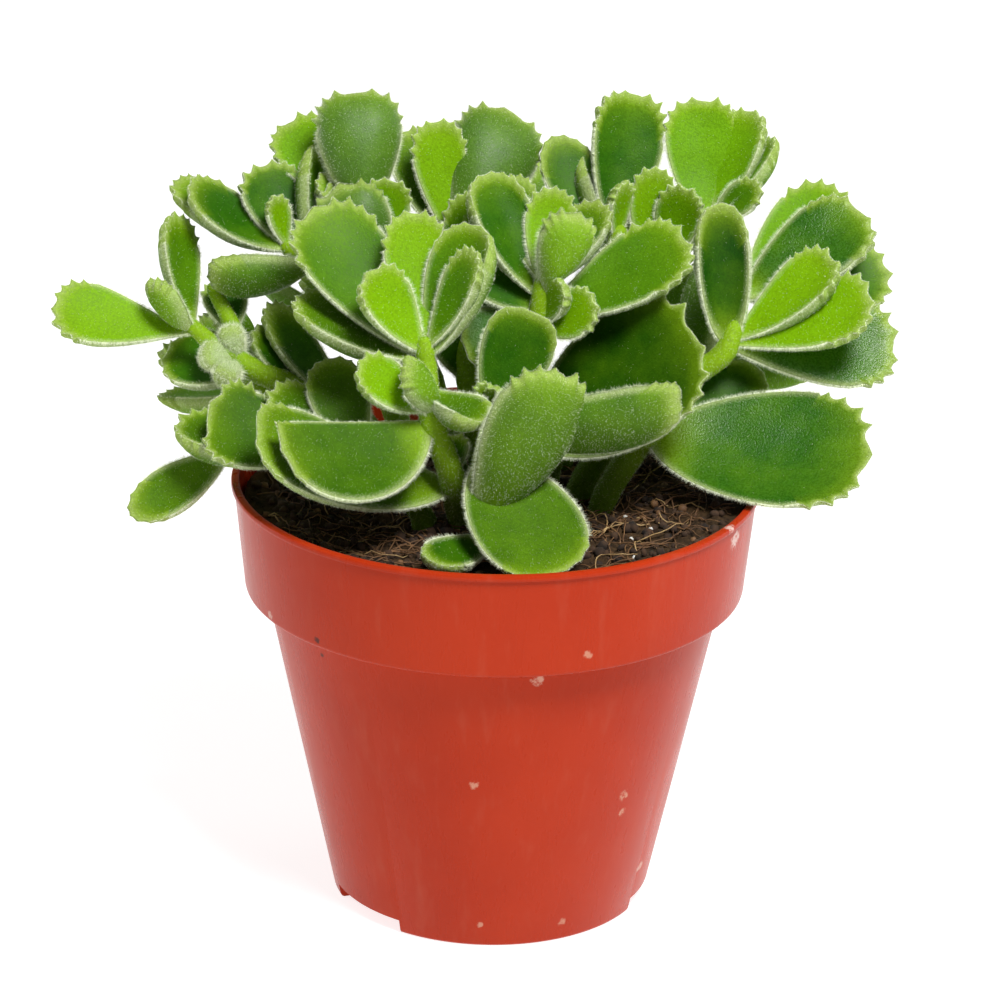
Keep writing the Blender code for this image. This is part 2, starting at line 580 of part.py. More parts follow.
def shoot_object(name, plan, home, parts_home):
    """One leafy shoot: its stems and leaves joined in one body."""
    body = stem_object(name, plan["stems"][0], home)
    for number, points in enumerate(plan["stems"][1:]):
        stem_object(f"{name}_twig_{number}", points, parts_home)
    lines = [smooth_path(points) for points in plan["stems"]]
    for form in plan["leaves"]:
        form["base"] = root_on(lines, form["base"])
        leaf_object(form, parts_home)
    union = body.modifiers.new("leaves", "BOOLEAN")
    union.operation = "UNION"
    union.operand_type = "COLLECTION"
    union.collection = parts_home
    union.solver = "EXACT"
    apply_modifiers(body)
    for obj in list(parts_home.objects):
        bpy.data.objects.remove(obj, do_unlink=True)
    keep_main_body(body)
    shade_smooth(body, 50.0)
    return body


# Pot and soil.

def body_inside(z):
    """The inside radius of the tapered body at this height, in millimetres."""
    return BODY_FOOT_RADIUS + (BODY_TOP_RADIUS - BODY_FOOT_RADIUS) * z / COLLAR_FOOT_Z - WALL


def collar_inside(z):
    """The inside radius of the collar at this height, in millimetres."""
    share = (z - COLLAR_FOOT_Z) / (POT_HEIGHT - LIP_HEIGHT - COLLAR_FOOT_Z)
    return COLLAR_FOOT_RADIUS + (COLLAR_TOP_RADIUS - COLLAR_FOOT_RADIUS) * share - WALL


def pot_profile():
    """Half of the pot's section, from the lip down the outside, under the foot and up the inside."""
    lip_foot = POT_HEIGHT - LIP_HEIGHT
    floor_top = FLOOR_Z + FLOOR_THICKNESS
    foot_in = BODY_FOOT_RADIUS - 2.2
    ledge = COLLAR_FOOT_Z + WALL
    return [
        (COLLAR_TOP_RADIUS - WALL + 0.2, POT_HEIGHT),
        (LIP_RADIUS - 0.4, POT_HEIGHT),
        (LIP_RADIUS, POT_HEIGHT - 0.4),
        (LIP_RADIUS, lip_foot + 0.3),
        (COLLAR_TOP_RADIUS, lip_foot),
        (COLLAR_FOOT_RADIUS + 0.05, COLLAR_FOOT_Z + 0.7),
        (COLLAR_FOOT_RADIUS - 0.6, COLLAR_FOOT_Z),
        (BODY_TOP_RADIUS, COLLAR_FOOT_Z),
        (BODY_FOOT_RADIUS, 0.6),
        (BODY_FOOT_RADIUS - 0.6, 0.0),
        (foot_in + 0.4, 0.0),
        (foot_in, 0.4),
        (foot_in - 0.6, FLOOR_Z),
        (PAD_RADIUS + 2.0, FLOOR_Z),
        (PAD_RADIUS, 0.0),
        (0.0, 0.0),
        (0.0, floor_top),
        (body_inside(floor_top) - 1.0, floor_top),
        (body_inside(floor_top + 1.0), floor_top + 1.0),
        (body_inside(ledge), ledge),
        (collar_inside(ledge), ledge),
        (collar_inside(lip_foot), lip_foot),
    ]


def turned(name, profile, steps, home):
    """A profile turned about Z with a Screw modifier, applied."""
    bm = bmesh.new()
    verts = [bm.verts.new((r * MM, 0.0, z * MM)) for r, z in profile]
    on_axis = [i for i, (r, z) in enumerate(profile) if r == 0.0]
    for i in range(len(verts)):
        j = (i + 1) % len(verts)
        if not (i in on_axis and j in on_axis):
            bm.edges.new((verts[i], verts[j]))
    obj = mesh_object(name, bm, home)
    screw = obj.modifiers.new("turn", "SCREW")
    screw.steps = steps
    screw.render_steps = steps
    screw.use_merge_vertices = True
    screw.merge_threshold = 0.00001
    apply_modifiers(obj)
    return obj


def pot_cutters(home):
    """Notches through the foot ring and drain holes through the floor."""
    for angle, width in NOTCH_PLACES:
        bm = bmesh.new()
        half = math.radians(width / 2.0)
        middle = math.radians(angle - 90.0)
        inner, outer = BODY_FOOT_RADIUS - 6.0, BODY_FOOT_RADIUS + 3.0
        steps = 6
        low = []
        for radius, order in ((inner, range(steps + 1)), (outer, range(steps, -1, -1))):
            for k in order:
                turn = middle - half + 2.0 * half * k / steps
                spot = (radius * MM * math.cos(turn), radius * MM * math.sin(turn), -MM)
                low.append(bm.verts.new(spot))
        face = bm.faces.new(low)
        top = bmesh.ops.extrude_face_region(bm, geom=[face])["geom"]
        lift = [v for v in top if isinstance(v, bmesh.types.BMVert)]
        bmesh.ops.translate(bm, verts=lift, vec=(0.0, 0.0, (NOTCH_HEIGHT + 1.0) * MM))
        bmesh.ops.recalc_face_normals(bm, faces=bm.faces)
        mesh_object("notch", bm, home)
    for k in range(DRAIN_COUNT):
        turn = 2.0 * math.pi * (k + 0.5) / DRAIN_COUNT
        bm = bmesh.new()
        x, y = DRAIN_RING_RADIUS * math.cos(turn), DRAIN_RING_RADIUS * math.sin(turn)
        spot = Matrix.Translation(Vector((x, y, FLOOR_Z + FLOOR_THICKNESS / 2.0)) * MM)
        bmesh.ops.create_cone(bm, cap_ends=True, segments=10, radius1=DRAIN_RADIUS * MM,
                              radius2=DRAIN_RADIUS * MM, depth=3.0 * FLOOR_THICKNESS * MM, matrix=spot)
        mesh_object("drain", bm, home)


def cut(obj, cutters):
    difference = obj.modifiers.new("cut", "BOOLEAN")
    difference.operation = "DIFFERENCE"
    difference.operand_type = "COLLECTION"
    difference.collection = cutters
    difference.solver = "EXACT"
    apply_modifiers(obj)


def hide_guides(home):
    for obj in home.objects:
        obj.hide_render = True
        obj.display_type = "WIRE"


def make_pot(home, cutters):
    pot = turned("pot", pot_profile(), POT_STEPS, home)
    pot_cutters(cutters)
    hide_guides(cutters)
    cut(pot, cutters)
    shade_smooth(pot, 35.0)
    pot.data.materials.append(material("terracotta plastic", (0.50, 0.07, 0.025), 0.42))
    return pot


def make_soil(home, cutters):
    """The soil fill: a sphere's rings drawn out to the pot's inside, with a bumpy top and stem holes."""
    floor = FLOOR_Z + FLOOR_THICKNESS + TOUCH_GAP
    bm = bmesh.new()
    bmesh.ops.create_uvsphere(bm, u_segments=SOIL_STEPS, v_segments=SOIL_RINGS, radius=1.0)
    top_shares = {0: 0.0, 1: 0.22, 2: 0.42, 3: 0.60, 4: 0.77, 5: 0.91, 6: 1.0}
    ledge = COLLAR_FOOT_Z + WALL + TOUCH_GAP
    sides = {
        7: (collar_inside(ledge), ledge),
        8: (body_inside(ledge), ledge),
        9: (body_inside(floor + 2.0), floor + 2.0),
        10: (body_inside(floor + 2.0) - 2.5, floor),
    }
    for vert in bm.verts:
        ring = round(math.acos(max(-1.0, min(1.0, vert.co.z))) / math.pi * SOIL_RINGS)
        turn = math.atan2(vert.co.y, vert.co.x)
        if ring in top_shares:
            edge = collar_inside(SOIL_LEVEL) - SIDE_GAP
            radius = top_shares[ring] * edge
            x, y = radius * math.cos(turn), radius * math.sin(turn)
            z = soil_height(x, y)
        else:
            radius, z = sides.get(ring, (0.0, floor))
            radius = max(radius - SIDE_GAP, 0.0)
            x, y = radius * math.cos(turn), radius * math.sin(turn)
        vert.co = Vector((x, y, z)) * MM
    bmesh.ops.recalc_face_normals(bm, faces=bm.faces)
    soil = mesh_object("soil", bm, home)
    for plan in SHOOTS.values():
        foot, radius = plan["stems"][0][0]
        hole = bmesh.new()
        depth = 2.0 * (STEM_DEPTH + TOUCH_GAP)
        spot = Matrix.Translation(Vector((foot.x, foot.y, foot.z + STEM_DEPTH)) * MM)
        wide = (radius + TOUCH_GAP) / math.cos(math.pi / HOLE_SIDES) * MM
        bmesh.ops.create_cone(hole, cap_ends=True, segments=HOLE_SIDES, radius1=wide, radius2=wide,
                              depth=depth * MM, matrix=spot)
        mesh_object("stem_hole", hole, cutters)
    hide_guides(cutters)
    cut(soil, cutters)
    shade_smooth(soil, 60.0)
    soil.data.materials.append(material("potting soil", (0.025, 0.014, 0.009), 0.95))
    return soil


def main():
    clear_scene()
    for name, seed, root, head, pairs in BACK_SHOOTS:
        SHOOTS[name] = ruled_shoot(seed, root, head, pairs)
    plant = collection("potted_cotyledon")
    pot_tools = collection("pot_cutters")
    soil_tools = collection("soil_cutters")
    bunch = collection("leaf_pieces")
    make_pot(plant, pot_tools)
    make_soil(plant, soil_tools)
    leaf_green = material("leaf green", (0.10, 0.22, 0.02), 0.5)
    for name, plan in SHOOTS.items():
        shoot = shoot_object(name, plan, plant, bunch)
        shoot.data.materials.clear()
        shoot.data.materials.append(leaf_green)


main()
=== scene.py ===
# Potted cotyledon, the looks: fine leaves with their hairs, bumpy soil with its litter, and the moulded pot.
# Metres in the scene, millimetres in the tables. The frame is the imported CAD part, and -Y is the front.
import json
import math
import random

import bmesh
import bpy
import numpy as np
from mathutils import Matrix, Vector, noise

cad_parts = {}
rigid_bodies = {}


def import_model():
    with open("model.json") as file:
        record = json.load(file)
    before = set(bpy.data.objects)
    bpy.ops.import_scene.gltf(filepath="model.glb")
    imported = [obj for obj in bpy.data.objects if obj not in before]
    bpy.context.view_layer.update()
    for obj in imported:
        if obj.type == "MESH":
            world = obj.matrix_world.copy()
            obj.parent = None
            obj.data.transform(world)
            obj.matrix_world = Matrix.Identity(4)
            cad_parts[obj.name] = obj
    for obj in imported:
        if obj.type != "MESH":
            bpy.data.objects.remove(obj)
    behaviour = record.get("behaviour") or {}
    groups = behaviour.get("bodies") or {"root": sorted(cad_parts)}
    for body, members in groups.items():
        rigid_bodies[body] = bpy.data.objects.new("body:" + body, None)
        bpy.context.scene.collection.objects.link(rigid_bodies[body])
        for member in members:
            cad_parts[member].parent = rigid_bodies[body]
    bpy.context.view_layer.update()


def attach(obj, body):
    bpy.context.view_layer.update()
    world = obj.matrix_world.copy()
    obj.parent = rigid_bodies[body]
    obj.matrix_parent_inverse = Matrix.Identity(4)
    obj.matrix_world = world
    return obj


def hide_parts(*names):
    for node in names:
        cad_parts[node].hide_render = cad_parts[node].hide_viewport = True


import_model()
MM = 0.001

# Pot, in millimetres: a common 10.5 cm nursery pot.
POT_HEIGHT = 88.0
LIP_RADIUS = 52.5
LIP_HEIGHT = 1.3
COLLAR_TOP_RADIUS = 51.9
COLLAR_FOOT_RADIUS = 49.8
COLLAR_FOOT_Z = 66.0
BODY_TOP_RADIUS = 45.8
BODY_FOOT_RADIUS = 31.8
WALL = 1.2
FLOOR_Z = 4.0
FLOOR_THICKNESS = 1.4
PAD_RADIUS = 9.0
NOTCH_HEIGHT = 3.0
NOTCH_PLACES = ((-52.0, 37.0), (80.0, 36.0), (194.0, 36.0))
DRAIN_COUNT = 6
DRAIN_RADIUS = 3.0
DRAIN_RING_RADIUS = 20.0
POT_STEPS = 160

# Soil, in millimetres. It heaps up towards the right, where it meets the rim.
SOIL_LEVEL = 80.5
SOIL_HEAP = 5.0
SOIL_HEAP_START = 8.0
SOIL_HEAP_END = 46.0
SOIL_LEFT_HEAP = 3.5
SOIL_LEFT_START = -24.0
SOIL_LEFT_END = -44.0
SOIL_BUMP = 0.7
SOIL_STEPS = 150
SOIL_RINGS = 46
TOUCH_GAP = 0.3
STEM_DEPTH = 9.0
FOOT_RISE = 1.5

# The view that the leaves are set out in: across, up and towards the viewer of the photograph.
EYE = (0.0, -860.0, 420.0)
VIEW_PITCH = 21.4
VIEW_YAW = 0.06
VIEW_ROLL = 0.97
VIEW_DISTANCE = 922.0

# Leaf form, as in the part's source. Shares are of the leaf's own length or width.
TOOTH_SHARE = 0.40
TOOTH_SHARPNESS = 2.1
TOOTH_LEAN = 0.35
TOOTH_SINK = 0.45
TOOTH_REACH = 1.9
LEAF_MIDDLE = 0.56
LEAF_THICKNESS = 4.6
SIDE_COLUMNS = 8
SMALL_LEAF = 12.5
STEM_PIECES = 8
STEM_SIDES = 16
FIBRE_POINTS = 9

# Camera, in millimetres of lens on a 36 mm sensor, and the light.
CAMERA_LENS = 167.2
WORLD_STRENGTH = 0.24
KEY_POWER = 11.0
SIDE_POWER = 3.0
FLOOR_GLOW = 0.80

# Scuffs on the pot: where, in millimetres, how far they reach, and their colour.
SCUFFS = (
    ((8.7, -44.4, 63.5), 3.2, (0.66, 0.36, 0.26)),
    ((46.7, -22.0, 84.1), 5.0, (0.7, 0.52, 0.46)),
    ((45.5, -25.3, 87.9), 3.0, (0.7, 0.52, 0.46)),
    ((26.3, -28.2, 32.0), 3.0, (0.62, 0.3, 0.2)),
    ((26.0, -27.3, 27.8), 2.2, (0.62, 0.3, 0.2)),
    ((-3.3, -39.9, 39.0), 2.4, (0.62, 0.3, 0.2)),
    ((-33.9, -36.6, 67.7), 1.7, (0.03, 0.015, 0.01)),
    ((-33.2, -30.2, 61.8), 1.2, (0.04, 0.02, 0.012)),
    ((14.6, -29.2, 4.4), 2.0, (0.62, 0.3, 0.2)),
    ((30.3, -15.3, 10.2), 3.0, (0.62, 0.36, 0.28)),
    ((18.1, -46.8, 69.9), 2.2, (0.6, 0.28, 0.18)),
    ((-43.6, -24.3, 67.6), 2.4, (0.66, 0.42, 0.34)),
    ((-1.7, -32.8, 5.2), 1.6, (0.62, 0.3, 0.2)),
)

# Colours are linear. A leaf's tone: its middle colour, how glossy it is, and hairs per square millimetre above.
TONES = {
    "lime": ((0.180, 0.390, 0.001), 0.25, 1.5),
    "fresh": ((0.130, 0.320, 0.001), 0.45, 0.75),
    "mid": ((0.062, 0.180, 0.001), 0.40, 0.9),
    "shade": ((0.040, 0.120, 0.001), 0.25, 1.9),
    "dull": ((0.060, 0.155, 0.002), 0.20, 2.2),
    "dark": ((0.024, 0.112, 0.001), 0.55, 0.52),
    "deep": ((0.012, 0.070, 0.001), 0.65, 0.3),
    "glossy": ((0.024, 0.115, 0.001), 0.95, 0.15),
    "velvet": ((0.068, 0.175, 0.003), 0.10, 3.8),
    "velvet_dark": ((0.032, 0.120, 0.002), 0.20, 3),
    "woolly": ((0.420, 0.520, 0.250), 0.00, 20),
}
UNDER_TINT = (0.110, 0.210, 0.020)
RIM_TINT = (0.520, 0.600, 0.260)
BASE_TINT = (0.280, 0.460, 0.010)
TOOTH_TINT = (0.260, 0.400, 0.008)
TIP_TINT = (0.170, 0.310, 0.004)
TIP_SHARE = 0.35
GLOSSY = 0.8
STEM_COLOUR = (0.230, 0.400, 0.010)
STEM_LOW_COLOUR = (0.110, 0.200, 0.008)

# Leaf mesh: how finely each leaf is divided. Rings go from the middle, 0, to the margin, 1.
TOOTH_PIECES = 8
SIDE_PIECES = 14
UPPER_RINGS = (0.30, 0.55, 0.75)
RIM_INSETS = (1.3, 0.7, 0.25)

# Hairs, in millimetres.
FUZZ_WIDTH = 0.044
FRINGE_WIDTH = 0.061
FRINGE_PER_MM = 28.0
TOOTH_FRINGE_PER_MM = 13.5
TOOTH_FRINGE_SHARE = 0.32
FRINGE_LENGTH = 0.95
RIM_WIDTH = 1.1
RIM_FUZZ = 19.0
FUZZ_LENGTH = 0.34
UNDER_FUZZ = 4.4
STEM_FUZZ = 5.2


def view_axes():
    """The view's right, up and forward directions, as unit vectors."""
    pitch, yaw, roll = (math.radians(a) for a in (VIEW_PITCH, VIEW_YAW, VIEW_ROLL))
    forward = Vector((math.sin(yaw) * math.cos(pitch), math.cos(yaw) * math.cos(pitch), -math.sin(pitch)))
    right = Vector((math.cos(yaw), -math.sin(yaw), 0.0))
    up = right.cross(forward)
    turned_right = right * math.cos(roll) + up * math.sin(roll)
    turned_up = up * math.cos(roll) - right * math.sin(roll)
    return turned_right, turned_up, forward


RIGHT, UP, FORWARD = view_axes()


def seen(across, up, near):
    """The point, in millimetres, that the viewer sees at (across, up), this much nearer than the pot's axis."""
    distance = VIEW_DISTANCE - near
    spread = distance / VIEW_DISTANCE
    return Vector(EYE) + FORWARD * distance + RIGHT * (across * spread) + UP * (up * spread)


def leaf(name, tone, base, tip, width, face, teeth=5, cup=0.35, arch=0.35, dome=0.0, taper=0.95, blunt=0.42,
         thick=1.0, zone=0.34, bite=1.0, lean=0.0):
    """One leaf by its base, tip and width in millimetres and the way its upper face looks, all as seen."""
    across, up, near = face
    return {
        "name": name, "tone": tone, "base": seen(*base), "tip": seen(*tip), "width": width,
        "face": RIGHT * across + UP * up - FORWARD * near, "teeth": teeth, "cup": cup, "arch": arch,
        "dome": dome, "taper": taper, "blunt": blunt, "thick": thick, "zone": zone, "bite": bite, "lean": lean,
    }


def path(*points):
    return [(seen(a, u, n), r) for a, u, n, r in points]


def stem_foot(x, y, radius):
    level = soil_height(x, y)
    return [(Vector((x, y, level + height)), radius) for height in (-STEM_DEPTH, FOOT_RISE)]


def rooted(x, y, *points):
    """A stem that stands upright in the soil at (x, y), then goes through points as seen."""
    return stem_foot(x, y, points[0][3]) + path(*points)


def smooth_step(low, high, value):
    share = min(max((value - low) / (high - low), 0.0), 1.0)
    return share * share * (3.0 - 2.0 * share)


def soil_height(x, y):
    """The soil's surface at (x, y), in millimetres."""
    heap = SOIL_HEAP * smooth_step(SOIL_HEAP_START, SOIL_HEAP_END, x)
    heap += SOIL_LEFT_HEAP * smooth_step(SOIL_LEFT_START, SOIL_LEFT_END, x)
    bumps = math.sin(0.21 * x + 0.7) * math.cos(0.17 * y - 0.4) + 0.6 * math.sin(0.37 * y + 0.23 * x)
    return SOIL_LEVEL + heap + SOIL_BUMP * bumps


SHOOTS = {
    "shoot_front_left": {
        "stems": [rooted(-7, -9, (-10, 6, 20, 2.6), (-13.5, 16, 24, 2.4), (-14.5, 26, 24, 2.0), (-15, 31, 24, 1.6))],
        "leaves": [
            leaf("tall_lime", "lime", (-15, 29, 24), (-17.4, 57.2, 21), 12.6, (0.1, 0, 1), teeth=6,
                 blunt=0.36),
            leaf("short_lime", "lime", (-15.5, 29, 25), (-25.8, 45.2, 30), 11.5, (0.3, 0.3, 0.85), teeth=6,
                 cup=0.6, blunt=0.32),
            leaf("broad_back", "mid", (-15, 28, 23), (-37, 57.6, 16), 18.5, (0.3, 0.2, 0.9), teeth=6,
                 blunt=0.32),
            leaf("broad_under", "dull", (-15, 27.5, 22), (-39.5, 41, 15), 16, (0.3, 0.75, 0.6)),
            leaf("boat_outer", "mid", (-13.5, 28, 25), (-4.5, 54.5, 25), 15, (-0.55, 0.1, 0.8), cup=0.95,
                 teeth=4, bite=0.4),
            leaf("boat_inner", "mid", (-13.5, 30, 27), (-5.2, 49.7, 31), 9, (-0.6, 0.2, 0.7), cup=0.5,
                 teeth=4),
            leaf("round_lime", "lime", (-14, 18, 24), (-28, 27, 30), 10.5, (0.2, 0.5, 0.85), teeth=6,
                 taper=0.8),
            leaf("round_furry", "lime", (-13.8, 17, 25), (-19.5, 27, 32), 8.5, (-0.85, 0.35, 0.15),
                 taper=0.8, cup=0.6),
            leaf("small_boat", "dull", (-13.5, 22.5, 26), (-3.0, 15.8, 31.5), 10.5, (0.25, 0.75, 0.5),
                 teeth=4, cup=0.75, bite=0.3),
            leaf("low_broad", "shade", (-12.8, 15.8, 25), (-44.5, 15.4, 36), 19.5, (0.1, 0.35, 0.9),
                 taper=0.6, blunt=0.38, cup=0.3, zone=0.2, bite=0.35, lean=0.95),
            leaf("low_broad_under", "dull", (-7, -1, 18), (-48, 17, 30), 20, (0.15, 0.5, 0.85), taper=0.72,
                 blunt=0.3, zone=0.25, bite=0.5, lean=0.5),
            leaf("narrow_front", "mid", (-9, 3, 18), (-9.5, 13, 24), 7, (0.3, 0.1, 0.9), teeth=3),
        ],
    },
    "shoot_low_middle": {
        "stems": [rooted(-1, -22, (-4.5, -2, 21, 2.6), (-3.5, 7, 20, 2.3), (-1.5, 16, 19, 1.8))],
        "leaves": [
            leaf("oval_dark", "dark", (1, 17, 18), (6, 37.5, 22), 14.5, (0.05, 0.1, 1), taper=0.7,
                 blunt=0.3, bite=0.25),
            leaf("velvet_front", "velvet", (-2.5, -4, 22), (12, 25.5, 33), 20, (-0.45, 0.3, -0.8),
                 taper=0.75, blunt=0.34, cup=0.4, zone=0.26, teeth=4),
            leaf("low_front", "dull", (6, 7, 20), (11.2, -14.6, 36), 22, (0.15, 0.5, 0.85), taper=0.6,
                 blunt=0.36, zone=0.26, bite=0.3),
            leaf("low_dark", "dark", (1, -7, 22), (-13.8, -12, 37.5), 9.5, (0, 0.6, 0.8), taper=0.7,
                 teeth=3, bite=0.4),
            leaf("pale_under", "velvet_dark", (-1.5, 21, 19), (35.4, 22.6, 30), 13.5, (0.05, 0.35, -0.9),
                 taper=0.6, blunt=0.34, zone=0.25, bite=0.4, lean=0.7),
            leaf("tiny_a", "lime", (-2, 16, 20), (-3.8, 23, 25), 4, (0.2, 0, 0.9), teeth=3),
            leaf("tiny_b", "lime", (-1.5, 16, 21), (-1.3, 22, 26), 4, (-0.3, 0, 0.9), teeth=3),
        ],
    },
    "shoot_centre": {
        "stems": [rooted(6, 2, (6, 20, 8, 2.6), (7.5, 34, 12, 2.3), (8.5, 43, 14, 1.8))],
        "leaves": [
            leaf("edged_dark", "dark", (8, 40, 14), (-3.4, 64.6, 12), 13.5, (0.5, 0, 0.85), cup=0.8,
                 teeth=4, bite=0.5),
            leaf("small_dull", "dull", (8, 44, 11), (2.5, 64.5, 6), 8.5, (0.2, 0, 1), teeth=4),
            leaf("back_lime", "lime", (8.8, 41.5, 13), (10.7, 62, 11), 10, (-0.1, 0, 1), teeth=5),
            leaf("furry_lime", "lime", (9, 41, 16), (15, 57, 20), 11, (-0.3, 0.3, -0.9), teeth=5,
                 blunt=0.34),
            leaf("dull_right", "dull", (9, 43, 11), (19.7, 59.3, 5), 10.5, (-0.5, 0.1, 0.8), teeth=4),
            leaf("round_left", "lime", (8, 35, 15), (12.3, 42.5, 21), 7, (-0.7, 0.1, 0.7), teeth=4,
                 taper=0.8),
            leaf("round_right", "lime", (9, 33, 15), (18.8, 39, 20), 10, (-0.2, 0.2, 0.9), teeth=5,
                 taper=0.8),
            leaf("behind_boat", "glossy", (7, 36, 11), (-7, 30, 12), 14, (0, 0.4, 0.9), bite=0.3),
            leaf("behind_edge", "dark", (7.5, 38, 12), (-3.5, 47, 8.5), 12, (0.2, 0.3, 0.9), bite=0.5),
            leaf("right_broad", "mid", (8.5, 36, 12), (37, 52, 13), 16.5, (-0.25, 0.45, 0.85), teeth=6,
                 blunt=0.34, zone=0.38),
            leaf("right_dark", "deep", (6, 9, 9), (39, 32.5, 17), 31, (-0.1, 0.45, 0.9), teeth=6,
                 taper=0.62, blunt=0.32, zone=0.3),
        ],
    },
    "shoot_top_left": {
        "stems": [
            rooted(-8, 12, (-14, 24, -2, 2.8), (-22, 42, 1, 2.5), (-28, 57, 2, 2.0)),
            path((-20, 38, 0, 2.2), (-32, 45, 0, 2.1), (-42, 50, 0, 1.8)),
        ],
        "leaves": [
            leaf("crown_dark", "glossy", (-27.2, 55, 3), (-28.4, 81.2, 1), 17.5, (-0.1, 0, -1), taper=0.85,
                 blunt=0.28),
            leaf("crown_back", "fresh", (-32, 55, -3), (-42, 75.3, -9), 13.5, (0.2, 0, 1), teeth=6,
                 blunt=0.34),
            leaf("thin_edge", "mid", (-33, 53, -1), (-36.5, 70.2, -2.4), 8.6, (0.95, 0.1, 0.3), teeth=3),
            leaf("left_dark", "dark", (-41, 49, 0), (-46.8, 66.8, -3), 13.5, (0.3, 0.1, 0.9), teeth=6),
            leaf("left_lime", "lime", (-43, 50, 3), (-44.5, 60.3, 5), 5.2, (0.5, 0, 0.85), teeth=4),
            leaf("glossy_middle", "glossy", (-22, 42, 6), (-32.5, 62, 6), 15.5, (0.1, 0.1, -1), teeth=6,
                 blunt=0.34),
            leaf("red_tipped", "mid", (-30, 52, 4), (-34, 62.5, 3), 7, (0.2, 0.2, 0.9), teeth=4),
            leaf("round_dull", "fresh", (-25, 48, 3), (-21.8, 63.6, 6), 10, (0.1, 0.1, 1), teeth=6,
                 taper=0.8, blunt=0.34),
            leaf("pointed_back", "mid", (-29, 55, 0.5), (-35.2, 65, 1), 7, (0.5, 0.1, 0.8), teeth=3),
            leaf("outer_dark", "dark", (-43, 46.5, 2.4), (-61, 63.9, 0.8), 12, (0.4, 0.5, 0.75), teeth=3,
                 cup=0.4, blunt=0.52, bite=0.6, lean=0.3),
            leaf("outer_back", "mid", (-43, 46.5, -2), (-64.3, 63.7, -7), 11, (0.4, 0.6, 0.7), teeth=3),
            leaf("level_left", "dark", (-38, 45, 3), (-57.8, 46.8, 9), 11, (0.1, 0.6, -0.8), teeth=4,
                 taper=0.8, bite=0.4, lean=-0.5),
        ],
    },
    "shoot_left": {
        "stems": [
            rooted(-16, 5, (-27, 15, 0, 2.6), (-40, 22, 1, 2.4), (-51.5, 27.5, 3, 2.2), (-53, 34, 2, 1.8),
                   (-57, 42, 1, 1.3)),
            path((-51, 27, 3, 1.9), (-56.5, 30.5, 4, 1.8), (-61, 34.5, 4, 1.6)),
        ],
        "leaves": [
            leaf("far_left", "lime", (-60, 33, 4), (-88.6, 38.6, 8), 13.5, (0.12, 0.45, 0.85), teeth=5,
                 taper=1.35, blunt=0.38, zone=0.3),
            leaf("furry_small", "lime", (-61, 34, 5), (-68.8, 44, 9), 8, (0.7, 0.35, -0.5), teeth=5),
            leaf("upright", "mid", (-60.5, 34, 3), (-64, 56.8, 1), 10, (0.75, 0, 0.6), teeth=3),
            leaf("shaded_low", "dark", (-51, 25, 1), (-66.3, 29.3, -4), 14, (0.1, 0.5, 0.85), teeth=3,
                 taper=0.7, bite=0.4),
            leaf("inner_dark", "dark", (-38, 21, 2), (-47.3, 35, -1), 11, (0.5, 0.5, 0.7), teeth=3),
            leaf("behind_gap", "dark", (-28, 16, 0), (-46, 39, 2), 9, (0.5, 0.3, 0.8), teeth=3),
            leaf("shade_left", "dark", (-53, 33, 1), (-55.5, 44, -4), 9, (0.1, 0.1, 1), teeth=3),
            leaf("bud_a", "woolly", (-52.5, 26.5, 4), (-59, 29.5, 7), 6, (0, 0.3, 0.9), teeth=3, thick=1.4,
                 dome=1.6, cup=0.1, bite=0.2),
            leaf("bud_b", "woolly", (-52.5, 25.5, 4), (-54.2, 34.5, 6), 5, (-0.2, 0.2, 0.9), teeth=3,
                 thick=1.4, dome=1.6, cup=0.1, bite=0.2),
            leaf("bud_c", "woolly", (-51.5, 27, 4), (-55.5, 24.6, 8), 5.5, (0, 0.5, 0.8), teeth=3,
                 thick=1.4, dome=1.6, cup=0.1, bite=0.2),
        ],
    },
    "shoot_low_left": {
        "stems": [
            rooted(-14, -9, (-26, 9, 13, 2.4), (-38, 9, 13, 2.1), (-46, 9.5, 10, 1.8), (-55, 10, 7, 1.4)),
        ],
        "leaves": [
            leaf("toothed_front", "shade", (-38, 9, 13), (-57.5, 17, 17), 19, (0.15, 0.5, 0.85), teeth=5,
                 taper=0.8, blunt=0.22, zone=0.4),
            leaf("toothed_back", "shade", (-42, 9.5, 11), (-64.2, 15.2, 12), 14, (0.2, 0.8, 0.5), teeth=4,
                 cup=0.5),
            leaf("drooping", "dull", (-53, 10, 7), (-73.5, -3, 9), 10, (0.45, 0.5, 0.7), teeth=3, cup=0.6,
                 blunt=0.55, bite=0.4),
            leaf("peaked", "shade", (-29, 9, 13), (-45, 22.5, 12), 13, (0.3, 0.7, 0.6), teeth=4),
            leaf("dull_face", "dull", (-28, 9, 13), (-34.5, 28, 9), 12, (0.1, 0.2, 1), teeth=3, taper=0.8,
                 bite=0.4),
        ],
    },
    "shoot_upper_middle": {
        "stems": [rooted(-2, 10, (-6, 24, -2, 2.8), (-8, 40, 0, 2.4), (-9, 53, 1, 1.9))],
        "leaves": [
            leaf("glossy_up", "glossy", (-8, 50, -1), (2, 77, -5), 18.5, (-0.1, 0.1, -1), teeth=6,
                 blunt=0.28),
            leaf("lime_up", "lime", (-10, 50, 3), (-13, 75.3, 4), 11, (0.1, 0, 1), teeth=6, blunt=0.34),
            leaf("dull_up", "dull", (-10, 50.5, -0.5), (-18.6, 73.6, -5.5), 12, (0.3, 0, 0.95), teeth=4),
            leaf("sliver_up", "dull", (-9.5, 53, 0), (-7.3, 73.3, -3), 6, (0, 0, 1), teeth=4),
            leaf("olive_low", "mid", (-8, 38, 1), (-6, 61, 5), 10, (0.1, 0, 1), teeth=4),
            leaf("shade_middle", "dark", (-7, 28, -1), (-5, 47, 0), 13, (0.1, 0.1, 1), teeth=4),
